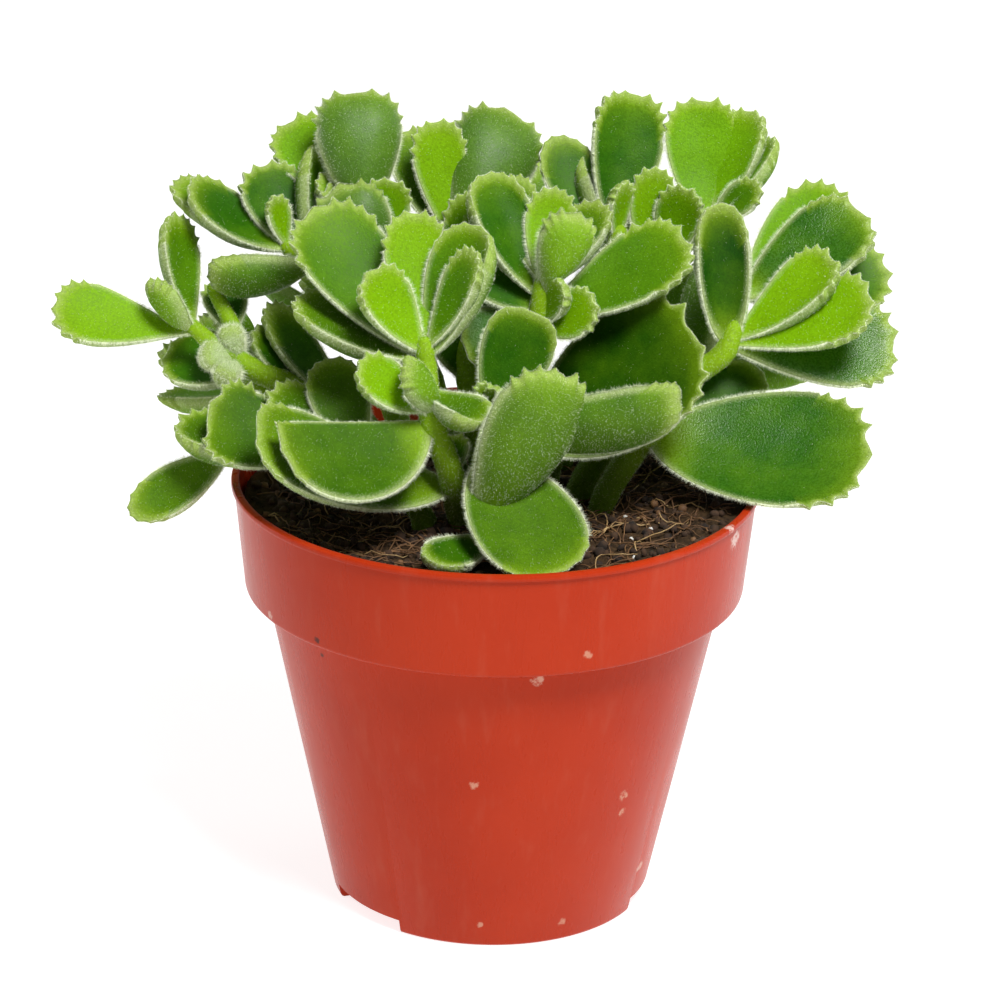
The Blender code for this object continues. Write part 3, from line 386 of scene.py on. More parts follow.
            leaf("shade_low", "dark", (-6, 22, -1), (-11, 39, 7), 11, (0.2, 0.1, 1), teeth=4),
        ],
    },
    "shoot_top_right": {
        "stems": [
            rooted(10, 15, (16, 26, -6, 2.8), (22, 42, -3, 2.4), (23.5, 53, 0, 1.9)),
            path((20, 34, -5, 2.2), (32, 46, -3, 2.1), (42, 56, -2, 1.8)),
        ],
        "leaves": [
            leaf("pointed_left", "dark", (22.5, 51, 0), (10, 72, -4), 12, (0.2, 0.2, 0.95), teeth=3,
                 blunt=0.55, bite=0.3),
            leaf("edge_left", "mid", (22.5, 52, -1), (17, 67.5, -6), 9, (0.9, 0.3, 0.25), teeth=3),
            leaf("tall_dark", "dark", (23, 50, 0), (26.5, 80.8, -4), 15, (0.25, 0, 1), teeth=6, taper=0.85,
                 blunt=0.3, cup=0.5),
            leaf("tall_lime_right", "fresh", (40.5, 54, -2), (40.1, 79.6, -5), 15, (0, 0, 1), teeth=7,
                 taper=0.9, blunt=0.34),
            leaf("lime_fold", "fresh", (42, 56, -1), (49.6, 77.4, -2.6), 11, (-0.6, 0.1, 0.8), teeth=5,
                 cup=0.5, blunt=0.34),
            leaf("lime_edge", "fresh", (43, 56, -3), (54.2, 72, -3), 9, (-0.85, 0.3, 0.4), teeth=3),
            leaf("inner_left", "lime", (24, 50, 1), (25, 63, 5), 6, (0.7, 0, 0.7), teeth=3),
            leaf("inner_middle", "lime", (29, 45, 0), (30.6, 66, 3), 9.5, (0, 0, 1), teeth=5),
            leaf("inner_right", "fresh", (33, 45, 1), (37, 62, 5), 10, (-0.3, 0, 0.9), teeth=5),
            leaf("furry_right", "mid", (44, 54, 0), (51.6, 62.8, 3), 7, (-0.4, 0.1, 0.8), teeth=3,
                 blunt=0.6),
        ],
    },
    "shoot_right": {
        "stems": [
            rooted(17, 8, (28, 21, 0, 2.8), (38, 25, 4, 2.5), (45, 30, 6, 2.2), (48, 41, 3, 1.6)),
        ],
        "leaves": [
            leaf("upright_boat", "deep", (45, 31, 8), (43.6, 58.8, 13), 11.5, (0.1, 0.1, 1), teeth=3,
                 taper=0.6, blunt=0.36, cup=0.95, bite=0.3),
            leaf("upper_dark", "glossy", (47.5, 40, 3), (72, 57, 0), 17.5, (-0.35, 0.35, 0.85), dome=1.2,
                 taper=0.8, blunt=0.3, bite=0.7),
            leaf("upper_lime", "fresh", (48, 41, 0), (66.5, 62.3, -6), 15, (-0.35, 0.3, 0.9), teeth=6),
            leaf("furry_lime_right", "lime", (46.5, 32, 8), (66.3, 48, 11), 13, (-0.6, 0.35, 0.7), teeth=5,
                 cup=0.6, blunt=0.34),
            leaf("bright_lime", "lime", (46.5, 30.5, 9), (73.6, 40.2, 16), 15, (-0.2, 0.5, 0.85), teeth=5,
                 taper=1.25, blunt=0.34, zone=0.4),
            leaf("far_dark", "dark", (49, 39, 0), (77, 46, -5), 17, (-0.1, 0.3, 0.95), teeth=6),
            leaf("low_glossy", "glossy", (45.5, 30, 6), (78.6, 31, 5), 18, (0, 0.3, 0.95), dome=1.2,
                 teeth=6, taper=1.1, blunt=0.34, zone=0.3),
        ],
    },
    "shoot_low_right": {
        "stems": [
            rooted(21, -2, (26, 9, 2, 2.6), (30, 13, 5, 2.3), (35, 17.5, 3, 1.6)),
        ],
        "leaves": [
            leaf("big_right", "glossy", (28, 13, 8), (72.8, 8.6, 15), 27, (-0.05, 0.5, 0.85), teeth=7,
                 taper=0.6, blunt=0.3, zone=0.34),
            leaf("behind_big", "deep", (35, 21, 2), (52.3, 25, -2), 12, (0, 0.4, 0.9), teeth=3, taper=0.7,
                 bite=0.3),
        ],
    },
}


# The back of the plant, which the photograph hides: (name, seed, root x y, head x y z, leaf pairs), in mm.
BACK_SHOOTS = (
    ("shoot_back_left", 3, (-17, 19), (-32, 38, 113), 3),
    ("shoot_back_middle", 5, (-1, 24), (-4, 47, 127), 3),
    ("shoot_back_right", 8, (13, 25), (24, 49, 112), 3),
    ("shoot_back_far_right", 13, (25, 14), (50, 27, 102), 3),
    ("shoot_back_low_left", 21, (-26, 9), (-53, 22, 101), 2),
)
PAIR_SPACING = 4.5
PAIR_TURN = 90.0
BACK_TONES = ("lime", "fresh", "mid", "dark")


def ruled_shoot(seed, root, head, pairs):
    """A shoot by the plant's own rule: leaves in opposite pairs, each pair a quarter turn from the last,
    short and upright at the tip, longer and more spread below."""
    rng = random.Random(seed)
    x, y = root
    low = Vector((x, y, soil_height(x, y)))
    top = Vector(head)
    middle = low.lerp(top, 0.5) + Vector((0.0, 0.0, 4.0))
    stem = stem_foot(x, y, 2.6) + [(middle, 2.3), (top, 1.7)]
    axis = (top - middle).normalized()
    side = axis.orthogonal().normalized()
    leaves = []
    for pair in range(pairs):
        base = top - axis * (2.0 + PAIR_SPACING * pair)
        for half in range(2):
            turn = math.radians(PAIR_TURN * pair + 180.0 * half + rng.uniform(-10.0, 10.0) + 40.0)
            spread = math.radians(22.0 + 17.0 * pair + rng.uniform(-6.0, 6.0))
            length = 17.0 + 5.0 * pair + rng.uniform(-2.0, 2.0)
            out = Matrix.Rotation(turn, 3, axis) @ side
            along = axis * math.cos(spread) + out * math.sin(spread)
            leaves.append({
                "name": f"pair_{pair}_{half}", "tone": BACK_TONES[pair], "bite": 1.0, "lean": 0.0, "base": base, "tip": base + along * length,
                "width": length * rng.uniform(0.42, 0.5), "face": axis - out * 0.3,
                "teeth": 4 + pair % 2, "cup": 0.35, "arch": 0.35, "dome": 0.0, "taper": 0.9,
                "blunt": 0.4, "thick": 1.0, "zone": 0.34,
            })
    return {"stems": [stem], "leaves": leaves}


# Meshes.

def piece(name, verts, faces, materials, colours=None, gloss=None):
    """A mesh object from points in metres, riding on the pot's body."""
    mesh = bpy.data.meshes.new(name)
    mesh.from_pydata([tuple(v) for v in verts], [], [tuple(f) for f in faces])
    if colours is not None:
        tone = mesh.attributes.new("tone", "FLOAT_COLOR", "POINT")
        tone.data.foreach_set("color", np.asarray(colours, dtype=np.float32).ravel())
    if gloss is not None:
        shine = mesh.attributes.new("gloss", "FLOAT", "POINT")
        shine.data.foreach_set("value", np.asarray(gloss, dtype=np.float32))
    for made in materials:
        mesh.materials.append(made)
    mesh.shade_smooth()
    obj = bpy.data.objects.new(name, mesh)
    bpy.context.scene.collection.objects.link(obj)
    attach(obj, "root")
    return obj


def mix(a, b, share):
    return np.asarray(a) * (1.0 - share) + np.asarray(b) * share


def outline_point(t, form):
    """The plain margin at t, 0 at the apex and 1 at the base: share of the length, share of the half width."""
    along = 0.5 * (1.0 + math.cos(math.pi * t))
    peak = form["taper"] / (form["taper"] + form["blunt"])
    rise = (along / peak) ** form["taper"]
    fall = ((1.0 - along) / (1.0 - peak)) ** form["blunt"]
    return along, rise * fall


def tooth_pitch(form):
    """The distance from tooth to tooth, in millimetres."""
    return 1.0 + 0.13 * form["width"]


def fine_teeth(form):
    """How many teeth the leaf's end has room for."""
    length = (form["tip"] - form["base"]).length
    steps = 24
    points = []
    for k in range(steps + 1):
        along, out = outline_point(form["zone"] * k / steps, form)
        points.append(Vector((along * length, out * form["width"] / 2.0)))
    reach = 2.0 * sum((b - a).length for a, b in zip(points, points[1:]))
    return max(form["teeth"], round(reach / tooth_pitch(form)))


def margin_places(form, rng):
    """Places round the margin, -1 to 1 from the base past the apex to the base, each with its tooth's height.
    The last value says where the teeth end."""
    columns = 2 * form["teeth"] + (SIDE_COLUMNS if form["width"] > SMALL_LEAF else SIDE_COLUMNS - 2)
    teeth_share = 2.0 * form["teeth"] / columns
    side = [teeth_share + (1.0 - teeth_share) * k / SIDE_PIECES for k in range(1, SIDE_PIECES + 1)]
    widths = [rng.uniform(0.7, 1.3) for _ in range(fine_teeth(form))]
    mean = sum(widths) / len(widths)
    high = TOOTH_SHARE * tooth_pitch(form) * form["bite"]
    top, start = [], 0.0
    for width in widths:
        size = high * (width / mean) * rng.uniform(0.75, 1.15)
        for k in range(TOOTH_PIECES):
            local = k / TOOTH_PIECES
            rise = (1.0 - abs(2.0 * local - 1.0)) ** TOOTH_SHARPNESS
            top.append((teeth_share * (2.0 * (start + width * local) / sum(widths) - 1.0),
                        size * (rise - TOOTH_SINK)))
        start += width
    top.append((teeth_share, 0.0))
    return [(-s, 0.0) for s in reversed(side[:-1])] + top + [(s, 0.0) for s in side], teeth_share


def margin_point(share, form, length, teeth_share, tooth):
    """The margin at share: its plain point, and the way its tooth stands out from it."""
    away = abs(share)
    zone = form["zone"]
    if away < teeth_share:
        t = zone * away / teeth_share
    else:
        t = zone + (1.0 - zone) * (away - teeth_share) / (1.0 - teeth_share)
    side = 1.0 if share > 0 else -1.0
    half = 0.5 * form["width"] * (1.0 + side * form["lean"])
    step = 0.01
    along, out = outline_point(t, form)
    along_a, out_a = outline_point(max(t - step, 0.0), form)
    along_b, out_b = outline_point(min(t + step, 1.0), form)
    point = Vector((along * length, side * out * half))
    run = Vector(((along_b - along_a) * length, side * (out_b - out_a) * half))
    normal = Vector((run.y, -run.x)) * side
    if normal.length < 1e-9 or t < step:
        normal = Vector((1.0, 0.0))
    normal = (normal.normalized() + Vector((TOOTH_LEAN, 0.0))).normalized()
    return point, normal * tooth


def bend(x, y, z, length, form):
    """Rolls the leaf's sides up by its cup, then arches it lengthwise, keeping both ends in place."""
    if form["cup"] > 0.01:
        radius = 0.5 * form["width"] / form["cup"]
        turn = y / radius
        y = (radius - z) * math.sin(turn)
        z = radius - (radius - z) * math.cos(turn)
    if form["arch"] > 0.01:
        radius = length / form["arch"]
        turn = x / radius - form["arch"] / 2.0
        chord = 2.0 * radius * math.sin(form["arch"] / 2.0)
        rise = radius * (1.0 - math.cos(form["arch"] / 2.0))
        x = (chord / 2.0 + (radius - z) * math.sin(turn)) * length / chord
        z = radius - (radius - z) * math.cos(turn) - rise
    return x, y, z


def leaf_frame(form):
    along = (form["tip"] - form["base"]).normalized()
    across = form["face"].cross(along).normalized()
    out = along.cross(across)
    return Matrix((along, across, out)).transposed()


def leaf_mesh(form, rng):
    """Points, faces, colours and gloss of one leaf, its margin's point numbers, and hairs wanted at each point."""
    length = (form["tip"] - form["base"]).length
    thickness = LEAF_THICKNESS * form["thick"] * min(1.0, 0.35 + form["width"] / 22.0)
    colour, gloss, fuzz = TONES[form["tone"]]
    turned = leaf_frame(form)
    middle = Vector((LEAF_MIDDLE * length, 0.25 * form["width"] * form["lean"]))
    places, teeth_share = margin_places(form, rng)
    shares = [share for share, _ in places]
    spots = [margin_point(share, form, length, teeth_share, tooth) for share, tooth in places]
    wave = Vector((rng.uniform(0, 99), rng.uniform(0, 99), rng.uniform(0, 99)))
    half = max(0.5 * form["width"], 3.0)
    insets = [1.0 - inset / half for inset in RIM_INSETS]
    upper = [r for r in UPPER_RINGS if r < insets[0] - 0.05] + insets
    rings = [(r, 1) for r in upper] + [(1.0, 0)] + [(r, -1) for r in reversed(upper)]
    verts, colours, glosses, wanted = [], [], [], []

    def add(flat, z, ring, side, toothed):
        ripple = noise.noise(Vector((flat.x, flat.y, 7.0 * side)) * 0.16 + wave)
        z += 0.35 * ripple * (1.0 - ring * ring)
        verts.append(form["base"] + turned @ Vector(bend(flat.x, flat.y, z, length, form)))
        inset = (1.0 - ring) * half
        shade = mix(colour, UNDER_TINT, 0.45 if side < 0 else 0.0)
        along = flat.x / length
        shade = mix(shade, BASE_TINT, 0.75 * smooth_step(0.30, 0.0, along))
        shade = mix(shade, TIP_TINT, TIP_SHARE * smooth_step(0.72, 1.0, along))
        if toothed:
            shade = mix(shade, TOOTH_TINT, 0.6 * smooth_step(1.8, 0.4, inset))
        pale = smooth_step(RIM_WIDTH * (1.6 if side < 0 else 1.0), 0.0, inset)
        shade = mix(shade, RIM_TINT, (0.35 if toothed else 0.6) * pale)
        colours.append((*shade, 1.0))
        glosses.append(gloss * (0.45 if side < 0 else 1.0))
        rim = RIM_FUZZ * (0.3 if toothed else 1.0) * smooth_step(RIM_WIDTH, 0.2, inset)
        wanted.append((UNDER_FUZZ + fuzz * 0.5 if side < 0 else fuzz) + rim)

    for ring, side in rings:
        grow = smooth_step(1.0 - TOOTH_REACH / half, 1.0, ring)
        for share, (plain, tooth) in zip(shares, spots):
            flat = middle + (plain - middle) * ring + tooth * grow
            if side > 0:
                z = (form["dome"] + 0.25) * math.sqrt(1.0 - ring * ring)
            else:
                z = -thickness * (1.0 - ring ** 2.2) ** 0.6
            add(flat, z, ring, side, abs(share) < teeth_share)
    add(middle, form["dome"] + 0.25, 0.0, 1, False)
    add(middle, -thickness, 0.0, -1, False)

    count = len(shares)
    top, bottom = len(verts) - 2, len(verts) - 1
    faces = [(top, k, (k + 1) % count) for k in range(count)]
    for row in range(len(rings) - 1):
        low, high = row * count, (row + 1) * count
        faces += [(low + k, high + k, high + (k + 1) % count, low + (k + 1) % count) for k in range(count)]
    last = (len(rings) - 1) * count
    faces += [(bottom, last + (k + 1) % count, last + k) for k in range(count)]
    margin = [(len(upper) * count + k, abs(share) < teeth_share) for k, share in enumerate(shares)]
    return verts, faces, colours, glosses, margin, wanted


def smooth_path(points, pieces):
    """Points on a smooth curve through the given ones, each with its radius. The foot's own piece is straight."""
    line = []
    count = len(points)
    for i in range(count - 1):
        before, (a, ra), (b, rb), after = points[max(i - 1, 0)][0], points[i], points[i + 1], \
            points[min(i + 2, count - 1)][0]
        steps = 1 if i == 0 else pieces
        for k in range(steps):
            t = k / steps
            tangent_a, tangent_b = (b - before) / 2.0, (after - a) / 2.0
            h1, h2 = 2 * t ** 3 - 3 * t ** 2 + 1, t ** 3 - 2 * t ** 2 + t
            h3, h4 = -2 * t ** 3 + 3 * t ** 2, t ** 3 - t ** 2
            line.append((a * h1 + tangent_a * h2 + b * h3 + tangent_b * h4, ra + (rb - ra) * t))
    line.append(points[-1])
    return line


def tube(line, sides):
    """Points and faces of a round tube along a line of points with radii, its ends closed to a point."""
    count = len(line)
    verts, faces = [], []
    side = None
    for i, (spot, radius) in enumerate(line):
        run = (line[min(i + 1, count - 1)][0] - line[max(i - 1, 0)][0]).normalized()
        side = run.orthogonal().normalized() if side is None else (side - run * side.dot(run)).normalized()
        other = run.cross(side)
        for k in range(sides):
            turn = 2.0 * math.pi * k / sides
            verts.append(spot + (side * math.cos(turn) + other * math.sin(turn)) * radius)
    for i in range(count - 1):
        for k in range(sides):
            a, b = i * sides + k, i * sides + (k + 1) % sides
            faces.append((a, b, b + sides, a + sides))
    for end, order in ((0, -1), (count - 1, 1)):
        verts.append(line[end][0])
        ring = [end * sides + k for k in range(sides)][::order]
        faces += [(ring[k], ring[(k + 1) % sides], len(verts) - 1) for k in range(sides)]
    return verts, faces


def root_on(lines, spot):
    """The nearest point to this spot on the middle line of any of the stems."""
    best = None
    for line in lines:
        for (a, _), (b, _) in zip(line, line[1:]):
            run = b - a
            share = min(max((spot - a).dot(run) / run.length_squared, 0.0), 1.0)
            near = a + run * share
            if best is None or (near - spot).length < (best - spot).length:
                best = near
    return best


# Hairs: each is one thin triangle.

def triangles_of(faces):
    out = []
    for face in faces:
        out += [(face[0], face[k], face[k + 1]) for k in range(1, len(face) - 1)]
    return np.array(out)


def hair_triangles(roots, runs, width, rng):
    """Thin triangles that stand on roots and reach along runs, both arrays of points in millimetres."""
    spin = rng.normal(size=roots.shape)
    wide = np.cross(runs, spin)
    wide /= np.linalg.norm(wide, axis=1, keepdims=True) + 1e-9
    wide *= width / 2.0
    return np.stack([roots - wide, roots + wide, roots + runs], axis=1).reshape(-1, 3)


def fuzz(verts, faces, wanted, length, rng):
    """Short hairs spread over a surface, as many to the square millimetre as its points want."""
    verts = np.array([tuple(v) for v in verts])
    triangles = triangles_of(faces)
    a, b, c = (verts[triangles[:, k]] for k in range(3))
    normal = np.cross(b - a, c - a)
    area = np.linalg.norm(normal, axis=1) / 2.0
    density = np.asarray(wanted)[triangles].mean(axis=1)
    number = rng.poisson(area * density)
    pick = np.repeat(np.arange(len(triangles)), number)
    u, v = rng.random(len(pick)), rng.random(len(pick))
    flip = u + v > 1.0
    u[flip], v[flip] = 1.0 - u[flip], 1.0 - v[flip]
    u, v = u[:, None], v[:, None]
    roots = a[pick] + (b[pick] - a[pick]) * u + (c[pick] - a[pick]) * v
    up = normal[pick] / (2.0 * area[pick][:, None] + 1e-12)
    runs = up + rng.normal(scale=0.38, size=roots.shape)
    runs /= np.linalg.norm(runs, axis=1, keepdims=True)
    runs *= length * rng.uniform(0.6, 1.25, size=(len(pick), 1))
    return hair_triangles(roots, runs, FUZZ_WIDTH, rng)


def fringe(verts, margin, middle, length, rng):
    """Longer hairs along a leaf's margin, pointing out from its middle."""
    spots = np.array([tuple(verts[k]) for k, _ in margin])
    toothed = np.array([toothed for _, toothed in margin])
    after = np.roll(spots, -1, axis=0)
    run = after - spots
    reach = np.linalg.norm(run, axis=1)
    number = rng.poisson(reach * np.where(toothed, TOOTH_FRINGE_PER_MM, FRINGE_PER_MM))
    pick = np.repeat(np.arange(len(spots)), number)
    roots = spots[pick] + run[pick] * rng.random((len(pick), 1))
    out = roots - np.asarray(middle)
    along = run[pick] / (reach[pick][:, None] + 1e-9)
    out -= along * np.sum(out * along, axis=1, keepdims=True)
    out /= np.linalg.norm(out, axis=1, keepdims=True) + 1e-9
    runs = out + rng.normal(scale=0.42, size=roots.shape)
    runs /= np.linalg.norm(runs, axis=1, keepdims=True)
    runs *= length * rng.uniform(0.55, 1.2, size=(len(pick), 1))
    runs[toothed[pick]] *= TOOTH_FRINGE_SHARE
    return hair_triangles(roots, runs, FRINGE_WIDTH, rng)


def fast_triangles(name, points, made):
    """A mesh of loose triangles, three points each, in millimetres."""
    count = len(points) // 3
    mesh = bpy.data.meshes.new(name)
    mesh.vertices.add(3 * count)
    mesh.vertices.foreach_set("co", (points * MM).astype(np.float32).ravel())
    mesh.loops.add(3 * count)
    mesh.loops.foreach_set("vertex_index", np.arange(3 * count, dtype=np.int32))
    mesh.polygons.add(count)
    mesh.polygons.foreach_set("loop_start", np.arange(0, 3 * count, 3, dtype=np.int32))
    mesh.update()
    mesh.validate()
    mesh.materials.append(made)
    obj = bpy.data.objects.new(name, mesh)
    bpy.context.scene.collection.objects.link(obj)
    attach(obj, "root")
    return obj


# Materials.

def shader_of(name, roughness, **numbers):
    """A material with one Principled shader, and plain numbers set on the shader's own sockets."""
    made = bpy.data.materials.new(name)
    made.use_nodes = True
    shader = made.node_tree.nodes["Principled BSDF"]
    shader.inputs["Roughness"].default_value = roughness
    for socket, value in numbers.items():
        shader.inputs[socket.replace("_", " ")].default_value = value
    return made, shader


class Nodes:
    """Short ways to add nodes to one material."""

    def __init__(self, made):
        self.tree = made.node_tree
        self.place = self.new("ShaderNodeTexCoord").outputs["Object"]

    def new(self, kind, **settings):
        node = self.tree.nodes.new(kind)
        for name, value in settings.items():
            setattr(node, name, value)
        return node

    def link(self, out, socket):
        self.tree.links.new(out, socket)

    def noise(self, scale, detail=3.0, rough=0.5, vector=None):
        node = self.new("ShaderNodeTexNoise")
        node.inputs["Scale"].default_value = scale
        node.inputs["Detail"].default_value = detail
        node.inputs["Roughness"].default_value = rough
        self.link(vector or self.place, node.inputs["Vector"])
        return node.outputs["Fac"]

    def span(self, value, low, high, to_low, to_high):
        node = self.new("ShaderNodeMapRange")
        for socket, number in zip(node.inputs[1:5], (low, high, to_low, to_high)):
            socket.default_value = number
        self.link(value, node.inputs[0])
        return node.outputs[0]

    def math(self, operation, a, b):
        node = self.new("ShaderNodeMath", operation=operation)
        for socket, value in zip(node.inputs, (a, b)):
            if isinstance(value, (int, float)):
                socket.default_value = value
            else:
                self.link(value, socket)
        return node.outputs[0]

    def mix(self, factor, a, b, blend="MIX"):
        node = self.new("ShaderNodeMix", data_type="RGBA", blend_type=blend)
        for socket, value in ((node.inputs[0], factor), (node.inputs[6], a), (node.inputs[7], b)):
            if isinstance(value, (int, float)):
                socket.default_value = value
            elif isinstance(value, tuple):
                socket.default_value = (*value, 1.0)
            else:
                self.link(value, socket)
        return node.outputs[2]

    def bump(self, height, distance, strength=1.0, normal=None):
        node = self.new("ShaderNodeBump")
        if isinstance(strength, float):
            node.inputs["Strength"].default_value = strength
        else:
            self.link(strength, node.inputs["Strength"])
        node.inputs["Distance"].default_value = distance
        self.link(height, node.inputs["Height"])
        if normal:
            self.link(normal, node.inputs["Normal"])
        return node.outputs["Normal"]


def leaf_material(name, specular, speck_depth):
    made, shader = shader_of(name, 0.5, Specular_IOR_Level=specular)
    n = Nodes(made)
    tone = n.new("ShaderNodeAttribute", attribute_name="tone").outputs["Color"]
    gloss = n.new("ShaderNodeAttribute", attribute_name="gloss").outputs["Fac"]
    blotch = n.noise(140.0, 3.0, 0.55)
    speck = n.noise(2400.0, 2.0, 0.6)
    grain = n.noise(3600.0, 1.0, 0.5)
    tinted = n.mix(n.span(blotch, 0.35, 0.70, 0.0, 0.30), tone, (0.100, 0.190, 0.002))
    light = n.math("ADD", n.span(blotch, 0.3, 0.7, 0.86, 1.14), n.span(speck, 0.35, 0.65, -0.16, 0.16))
    level = n.new("ShaderNodeVectorMath", operation="SCALE")
    n.link(tinted, level.inputs[0])
    n.link(light, level.inputs["Scale"])
    n.link(level.outputs[0], shader.inputs["Base Color"])
    rough = n.math("ADD", n.span(gloss, 0.0, 1.0, 0.62, 0.26), n.span(speck, 0.3, 0.7, -0.10, 0.10))
    n.link(rough, shader.inputs["Roughness"])
    coarse = n.bump(speck, speck_depth, strength=n.span(gloss, 0.2, 1.0, 0.4, 1.0))
    n.link(n.bump(grain, 0.00005, normal=coarse), shader.inputs["Normal"])
    return made


def hair_material():
    made, shader = shader_of("leaf hair", 0.6)
    shader.inputs["Base Color"].default_value = (0.90, 0.95, 0.72, 1.0)
    return made


def pot_material():
    made, shader = shader_of("terracotta plastic", 0.3, Specular_IOR_Level=0.12)
    n = Nodes(made)
    streak = n.new("ShaderNodeMapping")
    streak.inputs["Scale"].default_value = (1.0, 1.0, 0.16)
    n.link(n.place, streak.inputs["Vector"])
    drawn = n.noise(260.0, 4.0, 0.6, vector=streak.outputs[0])
    cloud = n.noise(28.0, 3.0, 0.5)
    grain = n.noise(2600.0, 2.0, 0.5)
    colour = n.mix(n.span(cloud, 0.35, 0.65, 0.0, 1.0), (0.400, 0.026, 0.004), (0.450, 0.033, 0.006))
    colour = n.mix(n.span(drawn, 0.55, 0.80, 0.0, 0.10), colour, (0.62, 0.24, 0.15))
    broken = n.noise(900.0, 4.0, 0.7)
    for spot, reach, shade in SCUFFS:
        away = n.new("ShaderNodeVectorMath", operation="DISTANCE")
        n.link(n.place, away.inputs[0])
        away.inputs[1].default_value = tuple(c * MM for c in spot)
        near = n.span(away.outputs["Value"], reach * MM, 0.2 * reach * MM, 0.0, 1.0)
        mask = n.span(n.math("MULTIPLY", near, broken), 0.36, 0.50, 0.0, 0.8)
        colour = n.mix(mask, colour, shade)
    n.link(colour, shader.inputs["Base Color"])
    n.link(n.span(drawn, 0.3, 0.8, 0.24, 0.36), shader.inputs["Roughness"])
    n.link(n.bump(grain, 0.00002, normal=n.bump(drawn, 0.00006)), shader.inputs["Normal"])
    return made


def soil_material():
    made, shader = shader_of("potting soil", 0.95, Specular_IOR_Level=0.2)
    n = Nodes(made)
    crumb = n.noise(700.0, 5.0, 0.7)
    wide = n.noise(160.0, 3.0, 0.5)
    colour = n.mix(n.span(crumb, 0.35, 0.7, 0.0, 1.0), (0.014, 0.008, 0.004), (0.090, 0.050, 0.022))
    colour = n.mix(n.span(wide, 0.5, 0.75, 0.0, 0.5), colour, (0.120, 0.066, 0.028))
    n.link(colour, shader.inputs["Base Color"])
    n.link(n.bump(crumb, 0.0006), shader.inputs["Normal"])
    return made


def litter_material(name, dark, pale, roughness=0.7):
    made, shader = shader_of(name, roughness)
    n = Nodes(made)
    n.link(n.mix(n.span(n.noise(420.0), 0.3, 0.7, 0.0, 1.0), dark, pale), shader.inputs["Base Color"])
    return made


# Plant.

def make_shoot(name, plan, flesh, hair):
    """One shoot's stems and leaves as one fine mesh, and its hairs as another."""
    rng = random.Random(name)
    hair_rng = np.random.default_rng(sum(ord(c) * (k + 1) for k, c in enumerate(name)))
    verts, faces, colours, glosses, hairs, slots = [], [], [], [], [], []

    def join(new_verts, new_faces, new_colours, new_glosses):
        start = len(verts)
        slots.extend([int(max(new_glosses) > GLOSSY)] * len(new_faces))
        verts.extend(new_verts)
        faces.extend(tuple(k + start for k in face) for face in new_faces)
        colours.extend(new_colours)
        glosses.extend(new_glosses)

    lines = []
    for points in plan["stems"]:
        line = smooth_path(points, STEM_PIECES)
        lines.append(line)
        knobbly = [(spot, radius * (1.0 + 0.10 * noise.noise(spot * 0.5))) for spot, radius in line]
        (spot, radius), run = line[-1], (line[-1][0] - line[-2][0]).normalized()
        knobbly += [(spot + run * radius * 0.6, radius * 0.75), (spot + run * radius * 0.9, radius * 0.35)]
        stem_verts, stem_faces = tube(knobbly, STEM_SIDES)
        shade = [mix(STEM_LOW_COLOUR, STEM_COLOUR, smooth_step(84.0, 108.0, v.z)) for v in stem_verts]
        join(stem_verts, stem_faces, [(*c, 1.0) for c in shade], [0.2] * len(stem_verts))
        hairs.append(fuzz(stem_verts, stem_faces, [STEM_FUZZ] * len(stem_verts), FUZZ_LENGTH * 1.2, hair_rng))
    for form in plan["leaves"]:
        form["base"] = root_on(lines, form["base"])
        leaf_verts, leaf_faces, leaf_colours, leaf_glosses, margin, wanted = leaf_mesh(form, rng)
        join(leaf_verts, leaf_faces, leaf_colours, leaf_glosses)
        woolly = form["tone"] == "woolly"
        hairs.append(fuzz(leaf_verts, leaf_faces, wanted, FUZZ_LENGTH * (2.4 if woolly else 1.0), hair_rng))
        middle = form["base"].lerp(form["tip"], LEAF_MIDDLE)
        hairs.append(fringe(leaf_verts, margin, middle, FRINGE_LENGTH * (1.8 if woolly else 1.0), hair_rng))
    body = piece(f"{name}_leaves", [v * MM for v in verts], faces, flesh, colours, glosses)
    body.data.polygons.foreach_set("material_index", slots)
    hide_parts(name)
    fuzzy = fast_triangles(f"{name}_hairs", np.concatenate(hairs), hair)


# Pot.

def body_inside(z):
    return BODY_FOOT_RADIUS + (BODY_TOP_RADIUS - BODY_FOOT_RADIUS) * z / COLLAR_FOOT_Z - WALL


def collar_inside(z):
    share = (z - COLLAR_FOOT_Z) / (POT_HEIGHT - LIP_HEIGHT - COLLAR_FOOT_Z)
    return COLLAR_FOOT_RADIUS + (COLLAR_TOP_RADIUS - COLLAR_FOOT_RADIUS) * share - WALL


